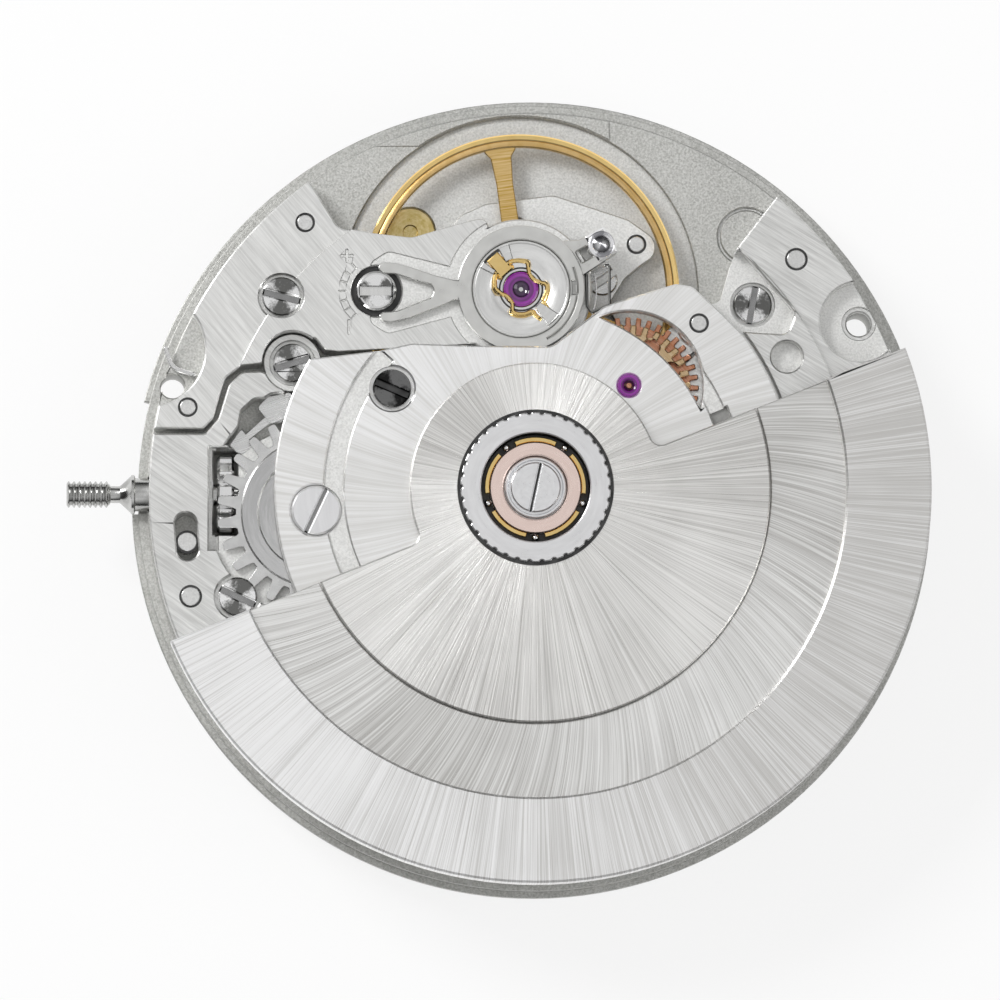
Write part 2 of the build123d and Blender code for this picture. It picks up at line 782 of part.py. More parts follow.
def main_plate():
    """Plate that carries everything, with its casing flange."""
    top = plate_top + overrun
    body = cyl(casing_radius, 0, shoulder_height) + cyl(upper_radius, shoulder_height, plate_top)
    body -= slab(outline(spots(keyless_shares)), -overrun, keyless_depth)
    pin_slot = bar(spot(setting_lever_shares[1]), spot(setting_pin_end_share), fork_arm * 2)
    body -= slab(pin_slot, keyless_depth - wheel_gap, stem_height)
    body -= cyl(recess_radius, -overrun, dial_recess_depth)
    flange = cyl(flange_radius, 0, flange_height) - cyl(casing_radius, -overrun, top)
    for start, end in flange_notches:
        flange -= slab(
            sector(flange_radius + overrun, casing_radius - overrun, start, end), -overrun, top
        )
    body += flange
    body = join_all(
        body, [cyl(guard_post, guard_sheet, dial_recess_depth, place) for place in guard_posts]
    )
    motion = disc(motion_pocket) + disc(pinion_pocket, intermediate_axis)
    for place, teeth in (
        (minute_axis, minute_teeth), (transfer_axis, transfer_teeth), (setting_axis, setting_teeth)
    ):
        motion += disc(pitch(teeth, motion_module) + pocket_gap, place)
    body -= slab(motion, -overrun, motion_recess_depth)
    body = cut_all(
        body,
        [
            cyl(pitch(seconds_teeth, seconds_module) + pocket_gap, train_floor, top),
            cyl(pitch(third_teeth, third_module) + pocket_gap, train_floor, top, third_axis),
            cyl(barrel_pitch + pocket_gap, barrel_floor, top, barrel_axis),
            cyl(pinion_pocket, barrel_floor, top, intermediate_axis),
            cyl(escape_radius + pocket_gap, train_floor, top, escape_axis),
            slab(bar(escape_axis, balance_axis, fork_pocket_width), fork_floor, top),
            cyl(fork_pocket, fork_floor, top, fork_axis),
            cyl(balance_pocket, balance_floor, top, balance_axis),
            cyl(staff_pocket, train_floor, top, balance_axis),
            cyl(jewel_radius, train_floor, top, fork_axis),
            winding_pocket(),
            cyl(centre_tube, -overrun, top),
            cyl(barrel_pivot + play, -overrun, top, barrel_axis),
            cyl(arbor_radius + play, -overrun, top, intermediate_axis),
            cyl(shock_jewel, train_floor - jewel_height, top, balance_axis),
            cyl(screw_recess, plate_top - pin_depth, top, spot(mark_share)),
            cyl(bush_radius, balance_floor - pin_depth, top, spot(bush_share)),
        ],
    )
    body = cut_all(
        body, [cyl(jewel_radius, train_floor - jewel_height, top, place) for place in plate_jewels]
    )
    screws = bridge_screws + [spot(pallet_screw_share)]
    body = cut_all(body, [cyl(screw_shank, plate_top - thread_depth, top, place) for place in screws])
    pins = cock_pins + barrel_pins + train_pins + [pallet_pin]
    body = cut_all(body, [cyl(radius, balance_floor - pin_depth, top, place) for place, radius in pins])
    body = cut_all(body, [cyl(casing_hole, -overrun, top, place) for place in spots(casing_hole_shares)])
    feet = [polar(dial_foot_distance, turn) for turn in dial_foot_turns]
    body = cut_all(body, [cyl(dial_foot_radius, -overrun, dial_foot_depth, place) for place in feet])
    body = cut_all(body, [cyl(guard_shank, -overrun, thread_depth, place) for place in guard_posts])
    body = cut_all(body, [cyl(guard_head, -overrun, guard_head_depth, place) for place in guard_posts])
    body += cyl(
        lever_post, balance_floor - pin_depth, recess_level - wheel_gap, spot(stop_lever_shares[0])
    )
    for place, low in (
        (minute_axis, hour_level),
        (transfer_axis, dial_recess_depth),
        (setting_axis, dial_recess_depth),
        (spot(setting_lever_shares[0]), dial_recess_depth),
        (spot(yoke_shares[0]), dial_recess_depth),
        (date_wheel_axis, guard_sheet + running),
        (jumper_pivot, guard_sheet + running),
    ):
        body += cyl(lever_post, low, keyless_depth + side_gap, place)
    return body


def brass_bushes():
    """Centre tube and the bush set into the plate below the balance."""
    bush = cyl(bush_radius, balance_floor - pin_depth, balance_floor + wheel_gap, spot(bush_share))
    return tube(centre_tube, centre_tube_bore, centre_tube_tip, train_floor) + bush


def bearing_jewels():
    """Rubies in the plate and in the bridges."""
    low_train = train_floor - jewel_height
    upper = bridge_ceiling + side_gap
    low_auto = recess_level - jewel_height
    places = [(place, low_train) for place in plate_jewels]
    places += [((0, 0), upper), (third_axis, upper), (intermediate_axis, upper)]
    places += [(escape_axis, sweep_floor - jewel_height), (fork_axis, pallet_bridge_top - jewel_height)]
    places += [(reverser_b, low_auto), (reduction_axis, low_auto), (driving_axis, low_auto)]
    places += [(reverser_a, lower_auto_under), (reduction_axis, auto_under), (driving_axis, auto_under)]
    places += [(reverser_a, auto_top - jewel_height), (reverser_b, auto_top - jewel_height)]
    gems = jewel(balance_axis, low_train, shock_jewel)
    gems += jewel(balance_axis, shock_level, shock_jewel)
    return join_all(gems, [jewel(place, low) for place, low in places])


def jewel_cuts(places, low, top):
    """Hole for each bearing jewel and a clearance hole for its arbor below."""
    cuts = [cyl(jewel_radius, low, top + overrun, place) for place in places]
    return cuts + [cyl(arbor_radius + play, plate_top - overrun, low, place) for place in places]


def bridge_screw_cuts():
    """Holes and head recesses of the bridge screws."""
    cuts = []
    for place, seat in zip(bridge_screws, bridge_screw_seats):
        cuts += [
            cyl(screw_shank + play, plate_top - overrun, sky, place), cyl(screw_recess, seat, sky, place)
        ]
    return cuts


def bridge_over_intermediate():
    """Space for the intermediate wheel below the bridges."""
    radius = pitch(intermediate_teeth, intermediate_module) + pocket_gap
    return cyl(radius, plate_top - overrun, bridge_ceiling, intermediate_axis)


def barrel_bridge():
    """Bridge over the barrel, with the floor for the crown wheel and the arm round the levers."""
    body = slab(outline(spots(barrel_bridge_shares)) & disc(bridge_radius), plate_top, bridge_top)
    body -= cyl(arm_boss, arm_boss_top, sky, spot(arm_screw_share))
    body += cyl(arm_boss, plate_top, arm_boss_top, spot(arm_screw_share))
    half = winding_tip + side_gap
    slot_low = (winding_x - side_gap * 2, -half, plate_top - overrun)
    slot_high = (winding_x + winding_length + side_gap, half, sky)
    pocket = pocket_gap + winding_addendum
    body = cut_all(
        body,
        [
            cyl(crown_pitch + pocket, recess_level, sky, crown_axis),
            cyl(ratchet_pitch + pocket, recess_level, sky, barrel_axis),
            cyl(pitch(reduction_teeth, reduction_module) + pocket_gap, recess_level, sky, reduction_axis),
            cyl(pitch(driving_pinion, ratchet_module) + pocket, recess_level, sky, driving_axis),
            box_between(slot_low, slot_high),
            winding_pocket(),
            slab(stop_lever_face(pocket_gap), stop_level - wheel_gap, sky),
            cyl(barrel_pitch + pocket_gap, plate_top - overrun, plate_top + wheel_gap, barrel_axis),
            bridge_over_intermediate(),
            cyl(barrel_pivot + play, plate_top - overrun, sky, barrel_axis),
            slab(bar(*spots(post_slot_shares), wide_pin_radius * 2), plate_top - overrun, sky),
            slab(bar(*spots(click_shares), click_pocket), recess_level, sky),
            cyl(lever_post + play, plate_top - overrun, sky, spot(stop_lever_shares[0])),
        ],
    )
    body += cyl(crown_post, recess_level, auto_under, crown_axis)
    body -= cyl(screw_shank, plate_top - overrun, sky, crown_axis)
    body += cyl(lever_post, plate_top + wheel_gap, winding_level + winding_sheet, spot(click_shares[0]))
    body = cut_all(body, jewel_cuts([driving_axis], recess_level - jewel_height, recess_level))
    body = cut_all(body, jewel_cuts([intermediate_axis], bridge_ceiling + side_gap, recess_level))
    body = cut_all(body, [cyl(radius, plate_top - overrun, sky, place) for place, radius in barrel_pins])
    return cut_all(body, bridge_screw_cuts())


def train_bridge():
    """Bridge over the going train, stepped down outside the heavy rim's inner edge."""
    face = outline(spots(train_bridge_shares)) & disc(bridge_radius)
    body = slab(face, plate_top, step_top)
    inner = disc(rotor_weight_drop - pocket_gap) - disc(auto_radius + side_gap)
    body -= slab(disc(flange_radius) - inner, bridge_top, sky)
    hole = spot(casing_hole_shares[0])
    body = cut_all(
        body,
        [
            slab(outline(spots(train_recess_shares)), recess_level + wheel_gap, sky),
            cyl(sweep_radius, sweep_floor, sky, balance_axis),
            cyl(pitch(reduction_teeth, reduction_module) + pocket_gap, recess_level, sky, reduction_axis),
            cyl(pitch(driving_teeth, driving_module) + pocket_gap * 2, bridge_top, sky, driving_axis),
            cyl(pitch(reverser_pinion, reduction_module) + pocket_gap, recess_level, sky, reverser_b),
            bridge_over_intermediate(),
            cyl(pinion_pocket, plate_top - overrun, bridge_ceiling, third_axis),
            slab(lower_auto_face(wheel_gap), lower_auto_under, sky),
            cyl(casing_recess, casing_recess_floor, sky, hole),
            cyl(casing_hole, plate_top - overrun, sky, hole),
            cyl(casing_sink, casing_recess_floor - side_gap, sky, hole),
            cyl(blind_hole, step_top - blind_depth, sky, spot(blind_hole_share)),
        ],
    )
    body = cut_all(body, jewel_cuts([(0, 0), third_axis], bridge_ceiling + side_gap, recess_level))
    body = cut_all(body, jewel_cuts([escape_axis], sweep_floor - jewel_height, sweep_floor))
    body = cut_all(
        body, jewel_cuts([reverser_b, reduction_axis], recess_level - jewel_height, recess_level)
    )
    body = cut_all(body, [cyl(radius, plate_top - overrun, sky, place) for place, radius in train_pins])
    return cut_all(body, bridge_screw_cuts())


def pallet_bridge():
    """Low matte bridge under the balance that holds the fork's upper jewel."""
    place, radius = pallet_pin
    body = slab(outline(spots(pallet_bridge_shares)), balance_floor, pallet_bridge_top)
    body -= cyl(fork_sweep, balance_floor - overrun, fork_relief, fork_axis)
    body = cut_all(body, jewel_cuts([fork_axis], pallet_bridge_top - jewel_height, pallet_bridge_top))
    body -= cyl(radius, balance_floor - overrun, sky, place)
    body -= cyl(screw_shank + play, balance_floor - overrun, sky, spot(pallet_screw_share))
    return body - cyl(pallet_screw_head + play, pallet_screw_seat, sky, spot(pallet_screw_share))


def balance_cock():
    """Cock that bears the balance, wide at the rim, with the index recess on its arm."""
    body = slab(outline(spots(cock_shares)) & disc(bridge_radius), plate_top, cock_top)
    body += cyl(index_ring + side_gap * 2, cock_under, cock_top, balance_axis)
    step = disc(flange_radius + overrun) - disc(rotor_weight_drop - pocket_gap)
    body = cut_all(
        body,
        [
            slab(step, bridge_top, sky),
            cyl(sweep_radius, plate_top - overrun, cock_under, balance_axis),
            cyl(cock_cutout_radius, plate_top - overrun, sky, spot(cock_cutout_share)),
            cyl(arm_recess_radius, plate_top - overrun, sky, spot(arm_screw_share)),
            cyl(setting_radius, plate_top, sky, balance_axis),
            slab(outline(spots(index_recess_shares)), cock_top - wheel_gap, sky),
            cyl(screw_recess + wheel_gap, eccentric_seat, sky, spot(index_screw_share)),
            cyl(screw_shank + play, plate_top, sky, spot(index_screw_share)),
        ],
    )
    body = cut_all(body, [cyl(radius, plate_top - overrun, sky, place) for place, radius in cock_pins])
    return cut_all(body, bridge_screw_cuts())


def auto_bridge():
    """Round bridge of the automatic works, with its window, its groove and the bearing post."""
    body = slab(outline(spots(auto_shares)) & disc(auto_radius), auto_under, auto_top)
    upper_tip = pitch(reverser_upper_teeth, reverser_upper_module) + pocket_gap
    gear_tip = pitch(rotor_gear_teeth, reverser_upper_module) + pocket_gap
    window = disc(pitch(reverser_lower_teeth, reverser_lower_module) + pocket_gap, reverser_a)
    body = cut_all(
        body,
        [
            cyl(index_ring + side_gap * 3, auto_under - overrun, lip_under, balance_axis),
            slab(
                sector(auto_groove_outer, auto_groove_inner, *groove_turns),
                auto_top - auto_groove_depth,
                sky,
            ),
            slab(window - disc(window_inner), auto_under - overrun, sky),
            cyl(upper_tip, auto_under - overrun, auto_pocket_top, reverser_a),
            cyl(upper_tip, auto_under - overrun, auto_pocket_top, reverser_b),
            cyl(gear_tip, auto_floor, sky),
            cyl(screw_shank + play, auto_under - overrun, sky, spot(dark_screw_share)),
            cyl(screw_recess, auto_top - screw_head_height, sky, spot(dark_screw_share)),
            cyl(screw_shank + play, auto_under - overrun, sky, crown_axis),
            cyl(light_screw_head + play, auto_top - screw_head_height, sky, crown_axis),
        ],
    )
    body += cyl(rotor_boss, auto_under, race_seat) + cyl(inner_race_bore - running, race_seat, ball_level)
    body -= cyl(screw_shank, auto_under - overrun, sky)
    body += cyl(foot_radius, lower_auto_top, auto_under, spot(auto_pin_share))
    body += cyl(foot_radius, bridge_top, auto_under, spot(auto_foot_share))
    body -= cyl(pin_radius, lower_auto_top - overrun, sky, spot(auto_pin_share))
    body = cut_all(
        body,
        [cyl(jewel_radius, auto_top - jewel_height, sky, place) for place in (reverser_a, reverser_b)],
    )
    top = auto_under + jewel_height
    return cut_all(body, [cyl(jewel_radius, 0, top, place) for place in (reduction_axis, driving_axis)])


def lower_auto_face(grow=0):
    """Outline of the lower automatic bridge."""
    width = lower_auto_width + 2 * grow
    return bar(reverser_a, spot(dark_screw_share), width) + bar(reverser_a, spot(auto_pin_share), width)


def lower_auto_bridge():
    """Thin bridge over the edge of the balance that holds the lower pivot of the first reversing wheel."""
    body = slab(lower_auto_face(), lower_auto_under, lower_auto_top)
    body += cyl(screw_recess - wheel_gap, lower_auto_under, auto_under, spot(dark_screw_share))
    body -= cyl(screw_shank, lower_auto_under - overrun, sky, spot(dark_screw_share))
    body -= cyl(pin_radius, lower_auto_under - overrun, sky, spot(auto_pin_share))
    return body - cyl(jewel_radius, lower_auto_under - overrun, sky, reverser_a)


def guard_plate():
    """Thin plate that keeps the date ring and the date wheel in place."""
    body = cyl(guard_radius, 0, guard_sheet) - cyl(guard_bore, -overrun, guard_sheet + overrun)
    body = cut_all(body, [cyl(guard_head, -overrun, overrun, place) for place in guard_posts])
    places = [(polar(guard_post_distance, turn), opening) for turn, opening in guard_openings]
    return cut_all(body, [cyl(opening, -overrun, overrun, place) for place, opening in places])


def bridge_screw_set():
    """Bright screws of the bridges, of the automatic bridge, of the pallet bridge and of the guard plate."""
    pieces = []
    for place, seat, turn in zip(bridge_screws, bridge_screw_seats, bridge_screw_slots):
        pieces.append(screw(place, seat, plate_top - thread_depth, turn))
    seat = auto_top - screw_head_height
    pieces.append(screw(crown_axis, seat, bridge_ceiling, light_screw_slot, light_screw_head))
    pallet_place = spot(pallet_screw_share)
    height = pallet_bridge_top - pallet_screw_seat
    pieces.append(
        screw(pallet_place, pallet_screw_seat, plate_top - thread_depth, 0, pallet_screw_head, height)
    )
    for place in guard_posts:
        shank = cyl(guard_shank, guard_head_depth, thread_depth, place)
        pieces.append(cyl(guard_head, 0, guard_head_depth, place) + shank)
    return join_all(pieces[0], pieces[1:])


def dark_screw():
    """Dark screw that holds the two automatic bridges together."""
    return screw(spot(dark_screw_share), auto_top - screw_head_height, lower_auto_under, dark_screw_slot)


def locating_pins():
    """Steady pins of the bridges and the post beside the stem."""
    low = balance_floor - pin_depth
    pins = cock_pins + barrel_pins + train_pins
    pieces = [cyl(radius, low, bridge_top + wheel_gap, place) for place, radius in pins]
    place, radius = pallet_pin
    pieces.append(cyl(radius, low, pallet_bridge_top + wheel_gap, place))
    pieces.append(cyl(pin_radius, lower_auto_under, auto_top + wheel_gap / 2, spot(auto_pin_share)))
    pieces.append(cyl(wide_pin_radius, plate_top, bridge_top, spot(post_share)))
    return join_all(pieces[0], pieces[1:])


def shock_setting():
    """Round block in the cock that holds the balance's upper jewel."""
    body = tube(setting_radius, shock_jewel, cock_under, setting_top, balance_axis)
    return body - cyl(shock_recess, shock_floor, sky, balance_axis)


def shock_spring():
    """Lyre spring over the jewel, with its hinge lug and two legs."""
    face = disc(shock_ring, balance_axis) - disc(shock_ring - shock_wire, balance_axis)
    face += bar(
        shift(balance_axis, shock_ring, shock_lug_turn),
        shift(balance_axis, shock_reach, shock_lug_turn),
        shock_wire * 2,
    )
    for turn in shock_leg_turns:
        face += bar(
            shift(balance_axis, shock_ring, turn), shift(balance_axis, shock_reach, turn), shock_wire
        )
    return slab(face, shock_floor, shock_floor + shock_wire / 2)


def casing_strip():
    """Bent strip beside the casing hole."""
    start, middle, end = spots(strip_shares)
    return slab(
        bar(start, middle, strip_width) + bar(middle, end, strip_width), plate_top, casing_recess_floor
    )


def index_lever():
    """Index with its ring round the setting and the two-armed fork round the eccentric screw."""
    joint, crotch, tip_a, bend_a, tip_b, bend_b = spots(index_shares)
    face = disc(index_ring, balance_axis) + bar(joint, crotch, index_arm * 1.5)
    for bend, tip in ((bend_a, tip_a), (bend_b, tip_b)):
        face += bar(crotch, bend, index_arm) + bar(bend, tip, index_arm)
    face -= disc(setting_radius + running, balance_axis)
    return slab(face, index_level, index_level + index_sheet)


def stud_holder():
    """Stud carrier ring, its arm and the block that clamps the hairspring's outer end."""
    place = shift(balance_axis, stud_reach, stud_turn)
    face = disc(index_ring, balance_axis) + bar(balance_axis, place, index_arm * 1.5)
    body = slab(face - disc(setting_radius + running, balance_axis), stud_level, stud_level + index_sheet)
    block = Rot(0, 0, stud_turn) * Box(stud_block, stud_block, stud_top - cock_under)
    body += Pos(place[0], place[1], (stud_top + cock_under) / 2) * block
    pin_place = shift(balance_axis, hairspring_outer + hairspring_strip / 2 + stud_pin, stud_turn)
    return body + cyl(stud_pin, hairspring_level, cock_under, pin_place) + stud_foot(pin_place, place)


def stud_foot(start, end):
    """Short foot that joins the stud pin to its block."""
    return slab(bar(start, end, stud_pin * 2), cock_under, stud_level)


def eccentric_screw():
    """Screw whose head sets the index."""
    return screw(spot(index_screw_share), eccentric_seat, cock_under, 0, screw_head, eccentric_height)


def spiral(inner, outer, turns, strip, low, high, place, end_turn):
    """Flat spiral strip from an inner to an outer radius."""
    steps = turns * spiral_steps
    sides = ([], [])
    for index in range(steps + 1):
        radius = inner + (outer - inner) * index / steps
        turn = end_turn - 360 * (steps - index) / spiral_steps
        sides[0].append(shift(place, radius + strip / 2, turn))
        sides[1].append(shift(place, radius - strip / 2, turn))
    print(f"least gap between coils {(outer - inner) / turns - strip:.3f} mm")
    return slab(outline(sides[0] + sides[1][::-1]), low, high)


def hairspring():
    """Balance spring, one unbroken strip from the collet to the stud."""
    inner = collet_radius + hairspring_strip
    top = hairspring_level + hairspring_height
    return spiral(
        inner,
        hairspring_outer,
        hairspring_turns,
        hairspring_strip,
        hairspring_level,
        top,
        balance_axis,
        stud_turn,
    )


def mainspring():
    """Mainspring coiled in the barrel, one unbroken strip."""
    inner = barrel_core + mainspring_strip
    outer = barrel_pitch - barrel_flange - barrel_wall - mainspring_strip
    return spiral(
        inner, outer, mainspring_turns, mainspring_strip, spring_low, spring_high, barrel_axis, 0
    )


def barrel_drum():
    """Toothed barrel with its cover."""
    outer = barrel_pitch - barrel_flange
    body = gear(barrel_teeth, barrel_module, barrel_base, barrel_base + barrel_flange, barrel_axis)
    body += cyl(outer, barrel_base, drum_top, barrel_axis)
    body -= cyl(outer - barrel_wall, spring_low - wheel_gap / 2, drum_top + overrun, barrel_axis)
    body -= cyl(barrel_pivot + running, 0, drum_top, barrel_axis)
    return body + tube(outer, barrel_pivot + running, drum_top + running / 2, cover_top, barrel_axis)


def barrel_arbor():
    """Arbor of the barrel with the screw of the ratchet wheel."""
    body = cyl(barrel_pivot, dial_recess_depth + wheel_gap, ratchet_seat, barrel_axis)
    body += cyl(barrel_core, spring_low, spring_high, barrel_axis)
    head = cyl(ratchet_screw_head, ratchet_seat, bridge_top, barrel_axis)
    slot = Pos(barrel_axis[0], barrel_axis[1], bridge_top) * Box(
        crown_post * 3, screw_slot, screw_slot_depth
    )
    return body + (head - slot)


def winding_wheel(teeth, place, phase):
    """Full-toothed wheel of the winding works at the bridge level."""
    radius = pitch(teeth, ratchet_module)
    face = gear_outline(teeth, radius + winding_addendum, radius - winding_dedendum, phase, True)
    return Pos(place[0], place[1], 0) * slab(face, winding_level, winding_level + winding_sheet)


def crown_wheel():
    """Crown wheel with its raised ring, free on its post."""
    top = winding_level + winding_sheet
    body = winding_wheel(crown_teeth, crown_axis, crown_tooth_angle)
    body += tube(crown_disc, crown_ring, top, top + crown_disc_height, crown_axis)
    return body - cyl(crown_post + running, 0, sky, crown_axis)


def ratchet_wheel():
    """Ratchet wheel on the barrel arbor."""
    phase = mesh_phase(crown_teeth, crown_tooth_angle, ratchet_teeth, direction(crown_axis, barrel_axis))
    body = winding_wheel(ratchet_teeth, barrel_axis, phase) - cyl(barrel_pivot, 0, sky, barrel_axis)
    return body - cyl(ratchet_screw_head, ratchet_seat, sky, barrel_axis)


def click():
    """Click that holds the ratchet wheel."""
    pivot, tip = spots(click_shares)
    face = disc(click_hub, pivot) + bar(pivot, tip, fork_arm)
    face -= disc(lever_post + running, pivot)
    return slab(face, winding_level, winding_level + winding_sheet)


def pinned_wheel(place, low, low_pivot, top, top_pivot):
    """Arbor between two jewels."""
    body = cyl(arbor_radius, low, top, place)
    return body + cyl(pivot_radius, low_pivot, low, place) + cyl(pivot_radius, top, top_pivot, place)


def train_arbor(place, low, top):
    """Arbor that stands in the plate's jewel and in an upper one."""
    return pinned_wheel(place, low, train_floor - jewel_height, top, top + jewel_height)


def intermediate_wheel():
    """Intermediate wheel, its barrel pinion and the pinion of the motion works below the plate."""
    low = hour_level + wheel_sheet + wheel_gap
    top = bridge_ceiling + wheel_gap
    body = gear(
        intermediate_teeth, intermediate_module, intermediate_level, intermediate_level + wheel_sheet,
        intermediate_axis, mesh_turn, spokes=wheel_spokes, hub=spoke_hub,
    )
    body += gear(
        intermediate_pinion,
        barrel_module,
        barrel_height,
        barrel_height + barrel_flange,
        intermediate_axis,
    )
    body += gear(cannon_teeth, motion_module, low, motion_recess_depth, intermediate_axis)
    body += cyl(arbor_radius, low, top, intermediate_axis)
    return body + cyl(pivot_radius, top, top + jewel_height + wheel_gap, intermediate_axis)


def third_wheel():
    """Third wheel and its pinion."""
    body = gear(
        third_teeth,
        third_module,
        third_level,
        third_level + wheel_sheet,
        third_axis,
        third_phase,
        spokes=wheel_spokes,
        hub=spoke_hub,
    )
    phase = mesh_phase(
        intermediate_teeth, mesh_turn, third_pinion, direction(intermediate_axis, third_axis)
    )
    body += gear(
        third_pinion,
        intermediate_module,
        intermediate_level,
        intermediate_level + wheel_sheet,
        third_axis,
        phase,
    )
    return body + train_arbor(third_axis, third_level - side_gap, bridge_ceiling + wheel_gap)


def seconds_wheel():
    """Centre seconds wheel with its long post for the hand."""
    body = gear(
        seconds_teeth,
        seconds_module,
        seconds_level,
        seconds_level + wheel_sheet,
        spokes=wheel_spokes,
        hub=spoke_hub,
    )
    phase = mesh_phase(third_teeth, third_phase, seconds_pinion, direction(third_axis, (0, 0)))
    body += gear(seconds_pinion, third_module, third_level, third_level + wheel_sheet, phase=phase)
    body += cyl(arbor_radius, train_floor + wheel_gap, bridge_ceiling + wheel_gap)
    body += cyl(seconds_pipe, seconds_tip, train_floor + wheel_gap)
    return body + cyl(pivot_radius, bridge_ceiling + wheel_gap, bridge_ceiling + jewel_height + side_gap)


def escape_wheel():
    """Escape wheel with pointed teeth and its pinion."""
    step = 360 / escape_teeth
    points = []
    for index in range(escape_teeth):
        turn = index * step
        points += [
            polar(escape_radius, turn), polar(escape_radius - escape_depth, turn + step * root_share)
        ]
        points.append(polar(escape_radius - escape_depth, turn + step * (1 - tip_share)))
    face = outline(points)
    for index in range(wheel_spokes):
        turn = index * 360 / wheel_spokes
        face -= sector(
            escape_radius - escape_depth * 2,
            spoke_hub,
            turn + spoke_turn,
            turn + 360 / wheel_spokes - spoke_turn,
        )
    body = Pos(escape_axis[0], escape_axis[1], 0) * slab(face, escape_level, escape_level + wheel_sheet)
    phase = mesh_phase(seconds_teeth, 0, escape_pinion, escape_turn)
    body += gear(
        escape_pinion, seconds_module, seconds_level, seconds_level + wheel_sheet, escape_axis, phase
    )
    return body + train_arbor(
        escape_axis, train_floor + wheel_gap, sweep_floor - jewel_height - wheel_gap
    )


def pallet_fork():
    """Pallet fork with its two stones and its staff."""
    towards = direction(fork_axis, balance_axis)
    tip = shift(fork_axis, fork_to_balance - impulse_reach - impulse_radius, towards)
    face = bar(fork_axis, tip, fork_arm) + disc(fork_head, tip)
    pin_place = shift(balance_axis, impulse_reach, towards + 180)
    stones = []
    for side in (-1, 1):
        turn = direction(escape_axis, fork_axis) + side * pallet_turn
        place = shift(escape_axis, escape_radius + stone_width, turn)
        face += bar(fork_axis, place, fork_arm)
        stone = Rot(0, 0, turn) * Box(stone_width * 1.5, stone_width, fork_level - escape_level)
        stones.append(Pos(place[0], place[1], (fork_level + escape_level) / 2) * stone)
    face -= bar(pin_place, shift(pin_place, fork_head, towards), (impulse_radius + play) * 2)
    body = slab(face, fork_level, fork_level + fork_sheet)
    body += train_arbor(fork_axis, train_floor + wheel_gap, pallet_bridge_top - jewel_height - wheel_gap)
    return join_all(body, stones)


def balance_wheel():
    """Balance with a smooth rim and three arms that widen at the rim."""
    body = tube(
        balance_rim, balance_rim - balance_rim_width, balance_under, balance_under + balance_height
    )
    face = disc(balance_hub)
    for index in range(balance_arms):
        turn = balance_arm_turn + index * 360 / balance_arms
        inner, outer = balance_arm_width / 2, balance_arm_width
        arm = [(0, -inner), (balance_arm_flare, -inner), (balance_arm_end, -outer)]
        arm += [(balance_arm_end, outer), (balance_arm_flare, inner), (0, inner)]
        face += Rot(0, 0, turn) * outline(arm)
    body += slab(face, balance_arm_level, balance_arm_level + balance_arm_sheet)
    return Pos(balance_axis[0], balance_axis[1], 0) * (body - cyl(staff_radius, 0, sky))


def balance_staff():
    """Balance staff with its roller, impulse pin and collet."""
    body = cyl(staff_radius, train_floor + wheel_gap, staff_top, balance_axis)
    body += cyl(pivot_radius, train_floor - jewel_height, shock_level + jewel_height, balance_axis)
    body += cyl(roller_radius, roller_level, roller_level + roller_sheet, balance_axis)
    pin_place = shift(balance_axis, impulse_reach, direction(balance_axis, fork_axis))
    body += cyl(impulse_radius, impulse_low, roller_level, pin_place)
    return body + cyl(collet_radius, hairspring_level, hairspring_level + hairspring_height, balance_axis)


def winding_stem():
    """Winding stem along -X, threaded for its knob at the outer end."""
    body = round_x(stem_thread, stem_tip_x, stem_thread_end_x) + round_x(
        stem_core, stem_thread_end_x, stem_collar_x
    )
    cone = Pos((stem_cone_x + stem_collar_x) / 2, 0, stem_height) * Rot(0, 90, 0)
    body += cone * Cone(stem_core, stem_collar, stem_collar_x - stem_cone_x)
    body += round_x(stem_collar, stem_collar_x, stem_collar_end_x) + round_x(
        stem_radius, stem_collar_end_x, stem_shoulder_x
    )
    groove_end = stem_groove_x + stem_groove_length
    body -= round_x(stem_radius * 2, stem_groove_x, groove_end) - round_x(
        stem_groove_radius, stem_groove_x, groove_end
    )
    half = stem_square / 2
    body += box_between(
        (stem_shoulder_x, -half, stem_height - half), (stem_pivot_x, half, stem_height + half)
    )
    return body + round_x(stem_pivot, stem_pivot_x, stem_end_x)


def winding_pinion():
    """Winding pinion, which meshes with the crown wheel."""
    face = gear_outline(winding_teeth, winding_tip, winding_root, 180, True) - disc(winding_bore)
    return Pos(winding_x, 0, stem_height) * Rot(0, 90, 0) * slab(face, 0, winding_length)


def sliding_pinion():
    """Sliding pinion with its groove for the yoke and teeth on both ends."""
    half = stem_square / 2 + running
    end = clutch_x + clutch_length
    body = round_x(clutch_radius, clutch_x, end)
    groove_end = clutch_groove_x + clutch_groove_length
    body -= round_x(clutch_radius * 2, clutch_groove_x, groove_end) - round_x(
        clutch_groove_radius, clutch_groove_x, groove_end
    )
    body -= box_between(
        (clutch_x - overrun, -half, stem_height - half), (end + overrun, half, stem_height + half)
    )
    for index in range(clutch_teeth):
        notch = Pos(end, 0, stem_height) * Rot(
            index * 360 / clutch_teeth, 0, 0
        ) * Pos(0, 0, clutch_radius)
        body -= notch * Box(clutch_notch * 2, clutch_notch, clutch_notch * 3)
    return body


def lever(shares, low, width, hub):
    """Flat lever round a post, with arms to the other places."""
    pivot, *ends = spots(shares)
    face = disc(hub, pivot)
    for end in ends:
        face += bar(pivot, end, width)
    return slab(face - disc(lever_post + running, pivot), low, low + lever_sheet)


def setting_lever():
    """Setting lever whose pin stands in the stem's groove."""
    body = lever(setting_lever_shares, lever_level, lever_width, lever_hub)
    return body + cyl(lever_pin, lever_level, lever_pin_top, spot(setting_lever_shares[1]))


